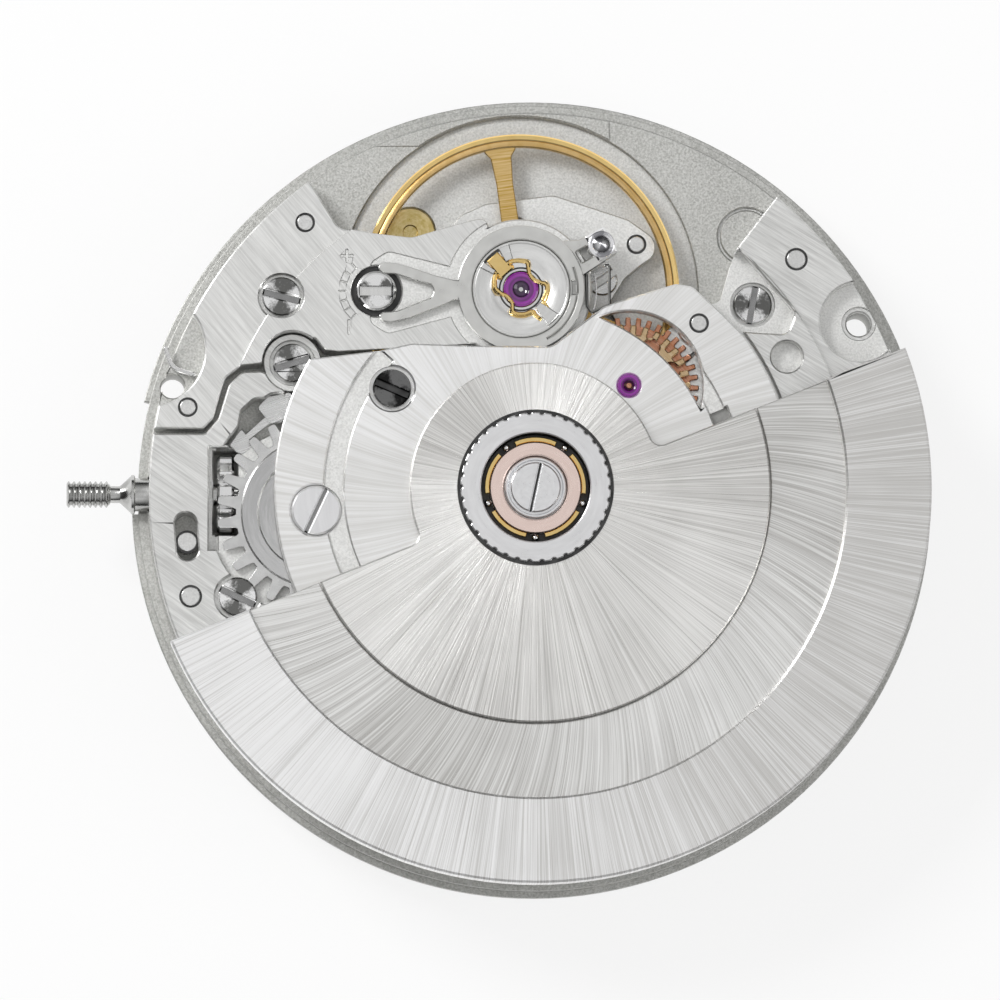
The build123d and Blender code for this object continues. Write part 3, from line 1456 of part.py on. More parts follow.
def yoke():
    """Yoke that shifts the sliding pinion."""
    return lever(yoke_shares, yoke_level, yoke_width, lever_hub)


def stop_lever_face(grow=0):
    """Outline of the balance stop lever."""
    pivot, tip, tail = spots(stop_lever_shares)
    face = bar(pivot, tip, fork_arm + 2 * grow) + bar(pivot, tail, fork_arm + 2 * grow)
    return face + disc(lever_hub + grow, pivot)


def stop_lever():
    """Lever that stops the balance when the hands are set."""
    body = slab(stop_lever_face(), stop_level, stop_level + lever_sheet)
    return body - cyl(lever_post + running, 0, sky, spot(stop_lever_shares[0]))


def motion_gear(teeth, place, low=motion_level, phase=0):
    """Wheel of the motion works on a post."""
    return gear(teeth, motion_module, low, low + wheel_sheet, place, phase) - cyl(
        lever_post + running, -overrun, overrun * 2, place
    )


def cannon_pinion():
    """Cannon pinion that carries the minute hand."""
    body = gear(cannon_teeth, motion_module, hour_level + wheel_sheet + wheel_gap, motion_recess_depth)
    body += cyl(cannon_pipe, cannon_tip + cannon_seat_length, hour_level + wheel_sheet + wheel_gap)
    body += cyl(cannon_seat, cannon_tip, cannon_tip + cannon_seat_length)
    return body - cyl(cannon_bore, cannon_tip - overrun, sky)


def minute_wheel():
    """Minute wheel with its pinion."""
    body = gear(
        minute_teeth, motion_module, motion_level + wheel_gap / 2, motion_level + wheel_sheet, minute_axis
    )
    body += gear(minute_pinion, hour_module, hour_level, motion_level + wheel_gap / 2, minute_axis)
    return body - cyl(lever_post + running, -overrun, sky, minute_axis)


def hour_wheel():
    """Hour wheel with its pipe and the gear that drives the date."""
    body = gear(hour_teeth, hour_module, hour_level, hour_level + hour_sheet)
    body += gear(hour_date_teeth, date_module, date_level, date_level + date_sheet)
    body += cyl(hour_hub, date_level, hour_level) + cyl(hour_pipe, hour_tip, date_level)
    return body - cyl(hour_bore, hour_tip - overrun, sky)


def date_wheel():
    """Date wheel with its finger."""
    phase = mesh_phase(hour_date_teeth, 0, date_wheel_teeth, date_wheel_turn)
    top = date_level + date_sheet
    body = gear(date_wheel_teeth, date_module, date_level, top, date_wheel_axis, phase)
    finger = bar(
        date_wheel_axis, shift(date_wheel_axis, date_finger - fork_arm, date_finger_turn), fork_arm * 2
    )
    body += slab(finger, top, top + date_finger_sheet)
    return body - cyl(lever_post + running, 0, sky, date_wheel_axis)


def date_ring():
    """Flat ring with teeth along its inner edge."""
    hole = gear_outline(date_count, date_ring_inner, date_tooth_tip, date_phase)
    top = date_level + play
    body = slab(disc(date_ring_outer) - hole, date_ring_under, top)
    return body + slab(disc(date_ring_step) - hole, top, top + date_ring_rib)


def date_jumper():
    """Sprung jumper whose tip rests between two teeth of the date ring."""
    tip = polar(jumper_reach, jumper_turn)
    bend = polar(jumper_spring_distance, jumper_spring_turn)
    face = bar(jumper_pivot, tip, fork_arm) + disc(lever_hub, jumper_pivot) + bar(
        jumper_pivot, bend, lever_pin
    )
    return slab(face - disc(lever_post + running, jumper_pivot), date_level, date_level + wheel_sheet)


def reverser_upper(place, phase):
    """Upper reversing wheel with its ring of round holes."""
    body = gear(
        reverser_upper_teeth, reverser_upper_module, upper_level, upper_level + wheel_sheet, place, phase
    )
    body -= cyl(arbor_radius + running, 0, sky, place)
    for index in range(reverser_holes):
        body -= cyl(
            reverser_hole,
            0,
            sky,
            shift(place, reverser_hole_circle, hole_turn + index * 360 / reverser_holes),
        )
    return body


def reverser_lower(place, phase, low, pinion):
    """Lower reversing wheel on its arbor, with a pinion where asked."""
    body = gear(
        reverser_lower_teeth,
        reverser_lower_module,
        lower_level,
        lower_level + reverser_sheet,
        place,
        phase,
    )
    top = auto_top - jewel_height - wheel_gap
    body += pinned_wheel(place, low, low - jewel_height, top, auto_top - wheel_gap)
    if pinion:
        body += gear(
            reverser_pinion,
            reduction_module,
            winding_level,
            winding_level + winding_sheet,
            place,
            reverser_pinion_phase,
        )
    return body


def reduction_wheel():
    """Reduction wheel with its pinion."""
    phase = mesh_phase(reverser_pinion, reverser_pinion_phase, reduction_teeth, reduction_turn)
    body = gear(
        reduction_teeth,
        reduction_module,
        winding_level,
        winding_level + winding_sheet,
        reduction_axis,
        phase,
        spokes=wheel_spokes,
        hub=spoke_hub,
    )
    body += gear(reduction_pinion, driving_module, lower_level, lower_level + lever_sheet, reduction_axis)
    return body + auto_arbor(reduction_axis)


def driving_wheel():
    """Driving wheel whose pinion turns the ratchet wheel."""
    phase = mesh_phase(reduction_pinion, 0, driving_teeth, direction(reduction_axis, driving_axis))
    body = gear(
        driving_teeth,
        driving_module,
        lower_level,
        lower_level + lever_sheet,
        driving_axis,
        phase,
        spokes=wheel_spokes,
        hub=spoke_hub,
    )
    ratchet_phase = mesh_phase(
        crown_teeth, crown_tooth_angle, ratchet_teeth, direction(crown_axis, barrel_axis)
    )
    phase = mesh_phase(ratchet_teeth, ratchet_phase, driving_pinion, direction(barrel_axis, driving_axis))
    radius = pitch(driving_pinion, ratchet_module)
    face = gear_outline(driving_pinion, radius + winding_addendum, radius - winding_dedendum, phase, True)
    body += Pos(driving_axis[0], driving_axis[1], 0) * slab(
        face, winding_level, winding_level + winding_sheet
    )
    return body + auto_arbor(driving_axis)


def auto_arbor(place):
    """Arbor between the bridge's jewel and the automatic bridge's jewel."""
    low = recess_level + wheel_gap / 2
    return pinned_wheel(
        place, low, recess_level - jewel_height, auto_under - running, auto_under + jewel_height
    )


def rotor_half(radius):
    """Part of a disc below the cut line of the oscillating weight."""
    edge = Rot(0, 0, rotor_cut_turn) * Pos(0, -rotor_cut_offset - flange_radius) * Rectangle(
        flange_radius * 4, flange_radius * 2
    )
    return disc(radius) & edge


def rotor_web():
    """Flat web of the oscillating weight with its hub and its lower outer band."""
    face = rotor_half(rotor_weight_drop - wheel_gap) + disc(rotor_hub)
    corners = face.vertices().filter_by(
        lambda corner: abs(corner.center().length - rotor_hub) < rotor_corner
    )
    face = fillet(corners, rotor_corner)
    body = slab(face, web_under, web_top)
    body -= slab(disc(flange_radius) - disc(rotor_step), web_band_top, sky)
    return body - cyl(race_outer, 0, sky)


def rotor_weight():
    """Heavy rim of the oscillating weight."""
    body = slab(rotor_half(rotor_radius) - disc(rotor_weight_inner), web_band_top, weight_top)
    return body + slab(rotor_half(rotor_radius) - disc(rotor_weight_drop), weight_under, web_band_top)


def outer_race():
    """Outer race with its gear below and its notched flange above."""
    body = gear(rotor_gear_teeth, reverser_upper_module, upper_level, upper_level + lever_sheet)
    body += cyl(race_outer, upper_level, web_top)
    flange = disc(rotor_ring)
    for index in range(rotor_ring_notches):
        flange -= disc(notch_radius, polar(rotor_ring, index * 360 / rotor_ring_notches))
    body += slab(flange, web_top, web_top + rotor_ring_sheet)
    return body - cyl(race_gap_outer, 0, sky)


def inner_race_ring():
    """Inner race of the ball bearing."""
    return tube(inner_race, inner_race_bore, race_seat, web_top)


def ball_cage():
    """Crown cage that spaces the balls."""
    body = tube(cage_outer, cage_inner, race_seat - cage_foot, cage_top)
    for index in range(ball_count):
        turn = ball_turn + index * 360 / ball_count
        window = sector(race_gap_outer, inner_race, turn - cage_window, turn + cage_window)
        body -= slab(window, race_seat, sky)
    return body


def bearing_balls():
    """Steel balls of the rotor bearing."""
    balls = []
    for index in range(ball_count):
        place = polar(ball_circle, ball_turn + index * 360 / ball_count)
        balls.append(Pos(place[0], place[1], ball_level) * Sphere(ball_radius))
    return join_all(balls[0], balls[1:])


def rotor_screw():
    """Screw that holds the rotor bearing, with its collar."""
    body = cyl(inner_race_bore - running, ball_level, web_top) + cyl(screw_shank, auto_under, ball_level)
    head = cyl(rotor_screw_head, web_top, rotor_screw_top)
    slot = Pos(0, 0, rotor_screw_top) * Rot(0, 0, rotor_slot_turn) * Box(
        rotor_screw_head * 3, screw_slot * 2, screw_slot_depth
    )
    return body + (head - slot)


def main():
    """Write every sub-part."""
    phase_a = mesh_phase(rotor_gear_teeth, 0, reverser_upper_teeth, direction((0, 0), reverser_a))
    phase_b = mesh_phase(rotor_gear_teeth, 0, reverser_upper_teeth, direction((0, 0), reverser_b))
    lower_phase = mesh_phase(
        reverser_lower_teeth, 0, reverser_lower_teeth, direction(reverser_a, reverser_b)
    )
    cannon_phase = 180 / cannon_teeth
    parts = {
        "main_plate": main_plate(),
        "brass_bushes": brass_bushes(),
        "barrel_bridge": barrel_bridge(),
        "train_bridge": train_bridge(),
        "pallet_bridge": pallet_bridge(),
        "balance_cock": balance_cock(),
        "lower_auto_bridge": lower_auto_bridge(),
        "auto_bridge": auto_bridge(),
        "guard_plate": guard_plate(),
        "bridge_screws": bridge_screw_set(),
        "dark_screw": dark_screw(),
        "locating_pins": locating_pins(),
        "bearing_jewels": bearing_jewels(),
        "shock_setting": shock_setting(),
        "shock_spring": shock_spring(),
        "casing_strip": casing_strip(),
        "inner_race": inner_race_ring(),
        "rotor_screw": rotor_screw(),
        "stud_holder": stud_holder(),
        "index_lever": index_lever(),
        "eccentric_screw": eccentric_screw(),
        "winding_stem": winding_stem(),
        "winding_pinion": winding_pinion(),
        "sliding_pinion": sliding_pinion(),
        "crown_wheel": crown_wheel(),
        "ratchet_wheel": ratchet_wheel(),
        "barrel_arbor": barrel_arbor(),
        "barrel_drum": barrel_drum(),
        "mainspring": mainspring(),
        "intermediate_wheel": intermediate_wheel(),
        "third_wheel": third_wheel(),
        "seconds_wheel": seconds_wheel(),
        "escape_wheel": escape_wheel(),
        "pallet_fork": pallet_fork(),
        "balance_wheel": balance_wheel(),
        "balance_staff": balance_staff(),
        "hairspring": hairspring(),
        "cannon_pinion": Rot(0, 0, cannon_phase) * cannon_pinion(),
        "minute_wheel": minute_wheel(),
        "hour_wheel": hour_wheel(),
        "date_wheel": date_wheel(),
        "date_ring": date_ring(),
        "date_jumper": date_jumper(),
        "setting_wheel": motion_gear(setting_teeth, setting_axis),
        "transfer_wheel": motion_gear(transfer_teeth, transfer_axis),
        "setting_lever": setting_lever(),
        "yoke": yoke(),
        "stop_lever": stop_lever(),
        "click": click(),
        "reverser_a_upper": reverser_upper(reverser_a, phase_a),
        "reverser_a_lower": reverser_lower(reverser_a, 0, lower_auto_top + running, False),
        "reverser_b_upper": reverser_upper(reverser_b, phase_b),
        "reverser_b_lower": reverser_lower(reverser_b, lower_phase, recess_level + wheel_gap / 2, True),
        "reduction_wheel": reduction_wheel(),
        "driving_wheel": driving_wheel(),
        "rotor_web": rotor_web(),
        "rotor_weight": rotor_weight(),
        "outer_race": outer_race(),
        "ball_cage": ball_cage(),
        "bearing_balls": bearing_balls(),
    }
    for name, shape in parts.items():
        save(name, shape)


main()
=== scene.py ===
"""Looks of the watch movement. Lengths in the helpers are millimetres, in the CAD's frame."""

from math import acos, atan2, cos, degrees, pi, radians, sin, sqrt, tan

import bpy
from mathutils import Matrix, Vector
from mathutils.geometry import delaunay_2d_cdt


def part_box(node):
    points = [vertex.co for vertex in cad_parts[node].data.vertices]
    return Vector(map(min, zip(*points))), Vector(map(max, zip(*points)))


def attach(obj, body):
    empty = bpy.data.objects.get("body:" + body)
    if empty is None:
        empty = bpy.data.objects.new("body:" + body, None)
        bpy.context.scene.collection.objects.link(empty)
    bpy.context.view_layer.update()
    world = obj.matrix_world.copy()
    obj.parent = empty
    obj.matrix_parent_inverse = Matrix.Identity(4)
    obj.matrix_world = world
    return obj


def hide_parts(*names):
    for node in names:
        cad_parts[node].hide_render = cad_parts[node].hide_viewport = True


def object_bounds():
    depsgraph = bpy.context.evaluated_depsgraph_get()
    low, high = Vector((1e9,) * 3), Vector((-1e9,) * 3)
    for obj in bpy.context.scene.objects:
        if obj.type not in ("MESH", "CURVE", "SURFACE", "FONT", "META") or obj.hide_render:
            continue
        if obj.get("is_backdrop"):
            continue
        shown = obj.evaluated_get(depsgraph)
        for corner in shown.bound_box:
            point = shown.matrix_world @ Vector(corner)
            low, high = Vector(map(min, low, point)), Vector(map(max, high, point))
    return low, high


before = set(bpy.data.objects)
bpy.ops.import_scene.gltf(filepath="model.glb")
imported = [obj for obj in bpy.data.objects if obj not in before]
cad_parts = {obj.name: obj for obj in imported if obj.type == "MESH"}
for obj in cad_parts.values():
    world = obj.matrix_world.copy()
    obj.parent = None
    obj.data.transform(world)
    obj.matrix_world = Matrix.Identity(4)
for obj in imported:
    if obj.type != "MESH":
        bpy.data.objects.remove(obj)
cad_low, cad_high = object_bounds()

MM = 0.001

# How the photograph shows the movement: pixels to a millimetre, its middle, and its lean with height
PIXELS = 30.71
MIDDLE_PX, MIDDLE_PY = 531.2, 500.2
LEAN_X, LEAN_Y = 0.03, 0.096

# Heights, as (low, high) where a solid fills them
STEM_Z = 1.5
BRIDGE = (1.77, 2.9)
COCK_TOP = 3.3
AUTO_SPAN = (3.16, 3.75)
WHEEL = (2.62, 2.86)
UPPER_WHEEL = (2.95, 3.11)
RECESS = 2.55
PLATE_TOP = 1.75
OPEN = 4

# Places shared with the CAD
CROWN = (-7.05, -0.7)
BALANCE = (-0.44, 6.52)
DARK = (-4.61, 3.25)
AUTO_PIN = (5.3, 5.4)
BUSH = (-3.98, 8.58)
REVERSER_A = (3.035, 3.371)
REVERSER_B = (4.471, -0.767)
REDUCTION = (1.951, -3.77)
DRIVING = (-1.767, -6.962)
BARREL = (-5.19, -5.956)
MIDDLE = (-0.532, -4.569)
THIRD = (3.161, -1.999)
ESCAPE = (1.896, 3)
FORK = (1.377, 4.952)


def centre(node):
    low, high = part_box(node)
    return ((low.x + high.x) / 2 / MM, (low.y + high.y) / 2 / MM)


def under(px, py, z):
    """Place on the movement at height z that the photograph shows at a pixel."""
    return ((px - MIDDLE_PX) / PIXELS - LEAN_X * z, (MIDDLE_PY - py) / PIXELS - LEAN_Y * z)


def seen_line(points, z):
    return [under(px, py, z) for px, py in points]


# Outlines


def polar(r, a, c=(0, 0)):
    return (c[0] + r * cos(radians(a)), c[1] + r * sin(radians(a)))


def heading(a, b):
    return degrees(atan2(b[1] - a[1], b[0] - a[0]))


def placed(points, turn, c=(0, 0)):
    """Points turned about the origin and moved to c."""
    x, y = polar(1, turn)
    return [(c[0] + u * x - v * y, c[1] + u * y + v * x) for u, v in points]


class Flat:
    """A flat region: closed loops and a rule saying which of them a point has to be in."""

    def __init__(self, loops, test):
        self.loops, self.test = loops, test

    def _with(self, other, rule):
        n, a, b = len(self.loops), self.test, other.test
        return Flat(self.loops + other.loops, lambda ids: rule(a(ids), b({i - n for i in ids if i >= n})))

    def __add__(self, other):
        return self._with(other, lambda p, q: p or q)

    def __sub__(self, other):
        return self._with(other, lambda p, q: p and not q)

    def __and__(self, other):
        return self._with(other, lambda p, q: p and q)


def loop(points):
    area = sum(a[0] * b[1] - b[0] * a[1] for a, b in zip(points, points[1:] + points[:1]))
    points = points if area > 0 else points[::-1]
    return Flat([[tuple(p) for p in points]], lambda ids: 0 in ids)


def disc(r, c=(0, 0), n=0):
    n = n or int(24 + 36 * sqrt(r))
    return loop([polar(r, 360 * i / n, c) for i in range(n)])


def union(flats):
    whole, *others = flats
    for flat in others:
        whole = whole + flat
    return whole


def discs(r, places, n=0):
    return union([disc(r, c, n) for c in places])


def arc(r, start, end, c=(0, 0)):
    n = max(2, int(abs(end - start) / max(1.5, 8 / sqrt(max(r, 0.02)))))
    return [polar(r, start + (end - start) * i / n, c) for i in range(n + 1)]


def ring(outer, inner, c=(0, 0)):
    return disc(outer, c) - disc(inner, c)


def sector(outer, inner, start, end, c=(0, 0)):
    return loop(arc(outer, start, end, c) + arc(inner, end, start, c))


def shape(points, corner=0):
    """Closed outline with its corners rounded; corner is one radius or one for each point."""
    radii = corner if isinstance(corner, (list, tuple)) else [corner] * len(points)
    out = []
    for i, p in enumerate(points):
        r = radii[i]
        a, b = Vector(points[i - 1]) - Vector(p), Vector(points[(i + 1) % len(points)]) - Vector(p)
        la, lb = a.length, b.length
        a.normalize(), b.normalize()
        half = acos(max(-1, min(1, a.dot(b)))) / 2
        if r <= 0 or half > 1.54 or half < 0.05:
            out.append(tuple(p))
            continue
        cut = min(r / tan(half), 0.48 * la, 0.48 * lb)
        r = cut * tan(half)
        mid = (a + b).normalized()
        c = Vector(p) + mid * (r / sin(half))
        s, e = Vector(p) + a * cut - c, Vector(p) + b * cut - c
        t0, t1 = atan2(s.y, s.x), atan2(e.y, e.x)
        turn = (t1 - t0 + pi) % (2 * pi) - pi
        n = max(2, int(abs(degrees(turn)) / 9))
        out += [(c.x + r * cos(t0 + turn * k / n), c.y + r * sin(t0 + turn * k / n)) for k in range(n + 1)]
    return loop(out)


def corners(x0, y0, x1, y1):
    return [(x0, y0), (x1, y0), (x1, y1), (x0, y1)]


def curve(points, steps):
    """Smooth line through the points."""
    last, out = len(points) - 1, []
    for i in range(last):
        a, b, c, d = [Vector(points[max(0, min(last, i + k))]) for k in (-1, 0, 1, 2)]
        for s in range(steps):
            t = s / steps
            square, cube = (2 * a - 5 * b + 4 * c - d) * t * t, (3 * b - a - 3 * c + d) * t**3
            out.append(tuple(0.5 * (2 * b + (c - a) * t + square + cube)))
    return out + [tuple(points[-1])]


def strip(points, width, steps=8, ends=True):
    """Band of one width along a smooth line."""
    line = curve(points, steps) if len(points) > 2 else list(points)
    left, right = [], []
    for i, p in enumerate(line):
        a, b = line[max(0, i - 1)], line[min(len(line) - 1, i + 1)]
        d = Vector((b[0] - a[0], b[1] - a[1])).normalized() * width / 2
        left.append((p[0] - d.y, p[1] + d.x))
        right.append((p[0] + d.y, p[1] - d.x))
    band = loop(left + right[::-1])
    return band + disc(width / 2, line[0]) + disc(width / 2, line[-1]) if ends else band


def bar(a, b, width):
    return strip([a, b], width)


def gear(teeth, tip, root, c=(0, 0), phase=0, tip_share=0.13, root_share=0.31):
    """Toothed outline with a flat tip and a flat root; the shares are of one tooth's pitch."""
    step, points = 360 / teeth, []
    low, high = root + (tip - root) * 0.12, tip - (tip - root) * 0.1
    tooth = [(low, -root_share), (high, -tip_share * 1.25), (tip, -tip_share + 0.03), (tip, tip_share - 0.03),
        (high, tip_share * 1.25), (low, root_share), (root, root_share + 0.07), (root, 1 - root_share - 0.07)]
    for i in range(teeth):
        m = phase + i * step
        points += [polar(r, m + step * k, c) for r, k in tooth]
    return loop(points)


def module_gear(teeth, module, c=(0, 0), phase=0):
    r = teeth * module / 2
    return gear(teeth, r + 0.9 * module, r - 1.25 * module, c, phase)


def mesh_phase(teeth_a, phase_a, teeth_b, angle):
    return angle + 180 - (180 - teeth_a * (angle - phase_a)) / teeth_b


# Solids


class Made:
    """Gathers the faces of one piece."""

    def __init__(self):
        self.points, self.faces, self.mats = [], [], []

    def add(self, points, faces, mat=0):
        base = len(self.points)
        self.points += points
        self.faces += [[base + i for i in f] for f in faces]
        self.mats += [mat] * len(faces) if isinstance(mat, int) else mat


def _cdt(flats):
    """Triangles over several flat regions, with what each triangle is in."""
    points, faces, offsets, count = [], [], [], 0
    for flat in flats:
        offsets.append(count)
        for line in flat.loops:
            faces.append(list(range(len(points), len(points) + len(line))))
            points += [Vector(p) for p in line]
            count += 1
    co, _, tris, _, _, origin = delaunay_2d_cdt(points, [], faces, 1, 1e-6)
    tests, pairs = [], list(zip(flats, offsets))
    for ids in origin:
        tests.append([f.test({i - o for i in ids if i - o in range(len(f.loops))}) for f, o in pairs])
    return co, tris, tests


def _edges(tris, keep):
    """Boundary edges of the kept triangles, each with its inside on the left."""
    seen = set()
    for tri, inside in zip(tris, keep):
        if inside:
            seen.update(zip(tri, list(tri[1:]) + [tri[0]]))
    return [(a, b) for a, b in seen if (b, a) not in seen]


def _inset(co, edges, width, fixed):
    """New places for the boundary points, moved inwards by width."""
    push = {}
    for a, b in edges:
        d = (co[b] - co[a]).normalized()
        n = Vector((-d.y, d.x))
        for v in (a, b):
            push.setdefault(v, []).append(n)
    out = {}
    for v, normals in push.items():
        if v in fixed or width == 0:
            continue
        total = sum(normals, Vector((0, 0)))
        if total.length < 0.3:
            continue
        mean = total.normalized()
        reach = max(0.45, min(mean.dot(n) for n in normals))
        out[v] = co[v] + mean * (width / reach)
    return out


def stack(made, solids, cuts=(), bevel=0.03, mat=0):
    """Upright solid from flat regions between heights, less the cuts; top and bottom edges are chamfered.

    solids: (region, low, high); cuts: (region, low, high) or (region, low, high, material of its floor).
    """
    cuts = [c if len(c) == 4 else (*c, mat) for c in cuts]
    levels = sorted({round(z, 5) for s in (*solids, *cuts) for z in s[1:3]})
    layers = []
    for low, high in zip(levels, levels[1:]):
        mid = (low + high) / 2
        body = [s for s in solids if s[1] < mid < s[2]]
        gone = [c for c in cuts if c[1] < mid < c[2]]
        if not body:
            layers.append(None)
            continue
        key = [id(s) for s in body], [id(c) for c in gone]
        if layers and layers[-1] and layers[-1]["key"] == key:
            layers[-1]["high"] = high
            continue
        flat = union([s[0] for s in body])
        for c in gone:
            flat = flat - c[0]
        layers.append({"low": low, "high": high, "flat": flat, "cuts": gone, "key": key})
    empty = Flat([], lambda ids: False)
    for below, layer, above in zip([None] + layers, layers, layers[1:] + [None]):
        if not layer:
            continue
        flats = [layer["flat"], above["flat"] if above else empty, below["flat"] if below else empty]
        floors = above["cuts"] if above else [c for c in cuts if abs(c[1] - layer["high"]) < 1e-5]
        co, tris, tests = _cdt(flats + [c[0] for c in floors])
        inside = [t[0] for t in tests]
        rim = _edges(tris, inside)

        def shared(k):
            """Boundary points that this layer shares with the one above (1) or below (2)."""
            both, other = _edges(tris, [t[0] and t[k] for t in tests]), _edges(tris, [t[k] for t in tests])
            return {v for e in both for v in e} & {v for e in other for v in e}

        low, high = layer["low"], layer["high"]
        b = min(bevel, (high - low) * 0.45)
        top, bottom = _inset(co, rim, b, shared(1)), _inset(co, rim, b, shared(2))
        points, index, faces, mats = [], {}, [], []

        def point(kind, v):
            if (kind, v) not in index:
                index[kind, v] = len(points)
                p, z = {"top": (top.get(v, co[v]), high), "upper": (co[v], high - (b if v in top else 0)),
                    "lower": (co[v], low + (b if v in bottom else 0)), "bottom": (bottom.get(v, co[v]), low)}[kind]
                points.append((p[0] * MM, p[1] * MM, z * MM))
            return index[kind, v]

        for tri, test in zip(tris, tests):
            if not test[0]:
                continue
            if not test[1]:
                m = mat
                for c, hit in zip(floors, test[3:]):
                    m = c[3] if hit else m
                faces.append([point("top", v) for v in tri])
                mats.append(m)
            if not test[2]:
                faces.append([point("bottom", v) for v in reversed(tri)])
                mats.append(mat)
        for a, c in rim:
            bands = [("lower", "upper")] + [("upper", "top")] * (a in top or c in top)
            bands += [("bottom", "lower")] * (a in bottom or c in bottom)
            for p, q in bands:
                faces.append([point(p, a), point(p, c), point(q, c), point(q, a)])
                mats.append(mat)
        made.add(points, faces, mats)
    return made


def slab(made, region, low, high, bevel=0.03, mat=0):
    return stack(made, [(region, low, high)], bevel=bevel, mat=mat)


def turned(made, profile, c=(0, 0), mat=0, n=0, place=None):
    """Solid of revolution about an upright axis: profile is (radius, height) points from bottom to top."""
    n = n or int(24 + 36 * sqrt(max(p[0] for p in profile)))
    rings = [(*polar(r, 360 * i / n, c), z) for r, z in profile for i in range(n)]
    points, faces = [tuple(k * MM for k in p) for p in rings], []
    for k in range(len(profile) - 1):
        for i in range(n):
            j = (i + 1) % n
            faces.append([k * n + i, k * n + j, (k + 1) * n + j, (k + 1) * n + i])
    if profile[0] != profile[-1]:
        if profile[0][0] > 0:
            faces.append(list(range(n - 1, -1, -1)))
        if profile[-1][0] > 0:
            faces.append([(len(profile) - 1) * n + i for i in range(n)])
    if place:
        points = [place(p) for p in points]
    made.add(points, faces, mat)


def along_x(p):
    """Turns an upright solid to lie along the stem's axis: its height becomes x."""
    return (p[2], -p[1], p[0] + STEM_Z * MM)


SMOOTH = radians(35)


def add_object(name, data, place=(0, 0, 0)):
    obj = bpy.data.objects.new(name, data)
    obj.location = tuple(k * MM for k in place)
    bpy.context.scene.collection.objects.link(obj)
    return obj


def piece(name, made, body, mats, nodes):
    """Makes the object, gives it its materials and lets it ride on its body."""
    mesh = bpy.data.meshes.new(name)
    mesh.from_pydata(made.points, [], made.faces)
    for m in mats:
        mesh.materials.append(m)
    mesh.polygons.foreach_set("material_index", made.mats)
    mesh.validate()
    mesh.shade_smooth()
    mesh.set_sharp_from_angle(angle=SMOOTH)
    obj = add_object(name, mesh)
    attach(obj, body)
    if nodes:
        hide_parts(*nodes)


def look(node, made, mats, body="plate"):
    """Piece that stands in for one node of the CAD."""
    piece(node + "_look", made, body, mats, [node])


# Materials


class Nodes:
    """Short way to wire a node tree."""

    def __init__(self, owner):
        owner.use_nodes = True
        self.owner, self.tree = owner, owner.node_tree
        self.shader = self.tree.nodes.get("Principled BSDF")

    def node(self, kind, inputs=None, **settings):
        n = self.tree.nodes.new("ShaderNode" + kind)
        for k, v in settings.items():
            setattr(n, k, v)
        for k, v in (inputs or {}).items():
            if isinstance(v, bpy.types.NodeSocket):
                self.tree.links.new(v, n.inputs[k])
            else:
                n.inputs[k].default_value = v
        return n

    def math(self, op, a, b=0, c=0):
        return self.node("Math", {0: a, 1: b, 2: c}, operation=op).outputs[0]

    def ramp(self, value, low, high, start=0, end=1, **settings):
        ends = {"From Min": start, "From Max": end, "To Min": low, "To Max": high}
        return self.node("MapRange", {"Value": value, **ends}, **settings).outputs[0]

    def mix(self, factor, a, b):
        return self.node("Mix", {0: factor, 6: a, 7: b}, data_type="RGBA").outputs[2]

    def noise(self, vector, scale=1, detail=2, rough=0.5):
        inputs = {"Vector": vector, "Scale": scale, "Detail": detail, "Roughness": rough}
        return self.node("TexNoise", inputs).outputs["Fac"]

    def place(self):
        """Place on the piece in millimetres."""
        place = self.node("TexCoord").outputs["Object"]
        return self.node("Mapping", {"Vector": place, "Scale": (1000, 1000, 1000)}).outputs[0]

    def set(self, values):
        for socket, value in values.items():
            self.shader.inputs[socket].default_value = value

    def link(self, out, socket):
        self.tree.links.new(out, self.shader.inputs[socket])

    def show(self, out):
        """Makes this the surface."""
        self.tree.links.new(out, self.tree.nodes["Material Output"].inputs[0])
        return self.owner


def new_material(name):
    return Nodes(bpy.data.materials.new(name))


def toned(colour, change):
    return tuple(max(0, min(1, k + change)) for k in colour) + (1,)


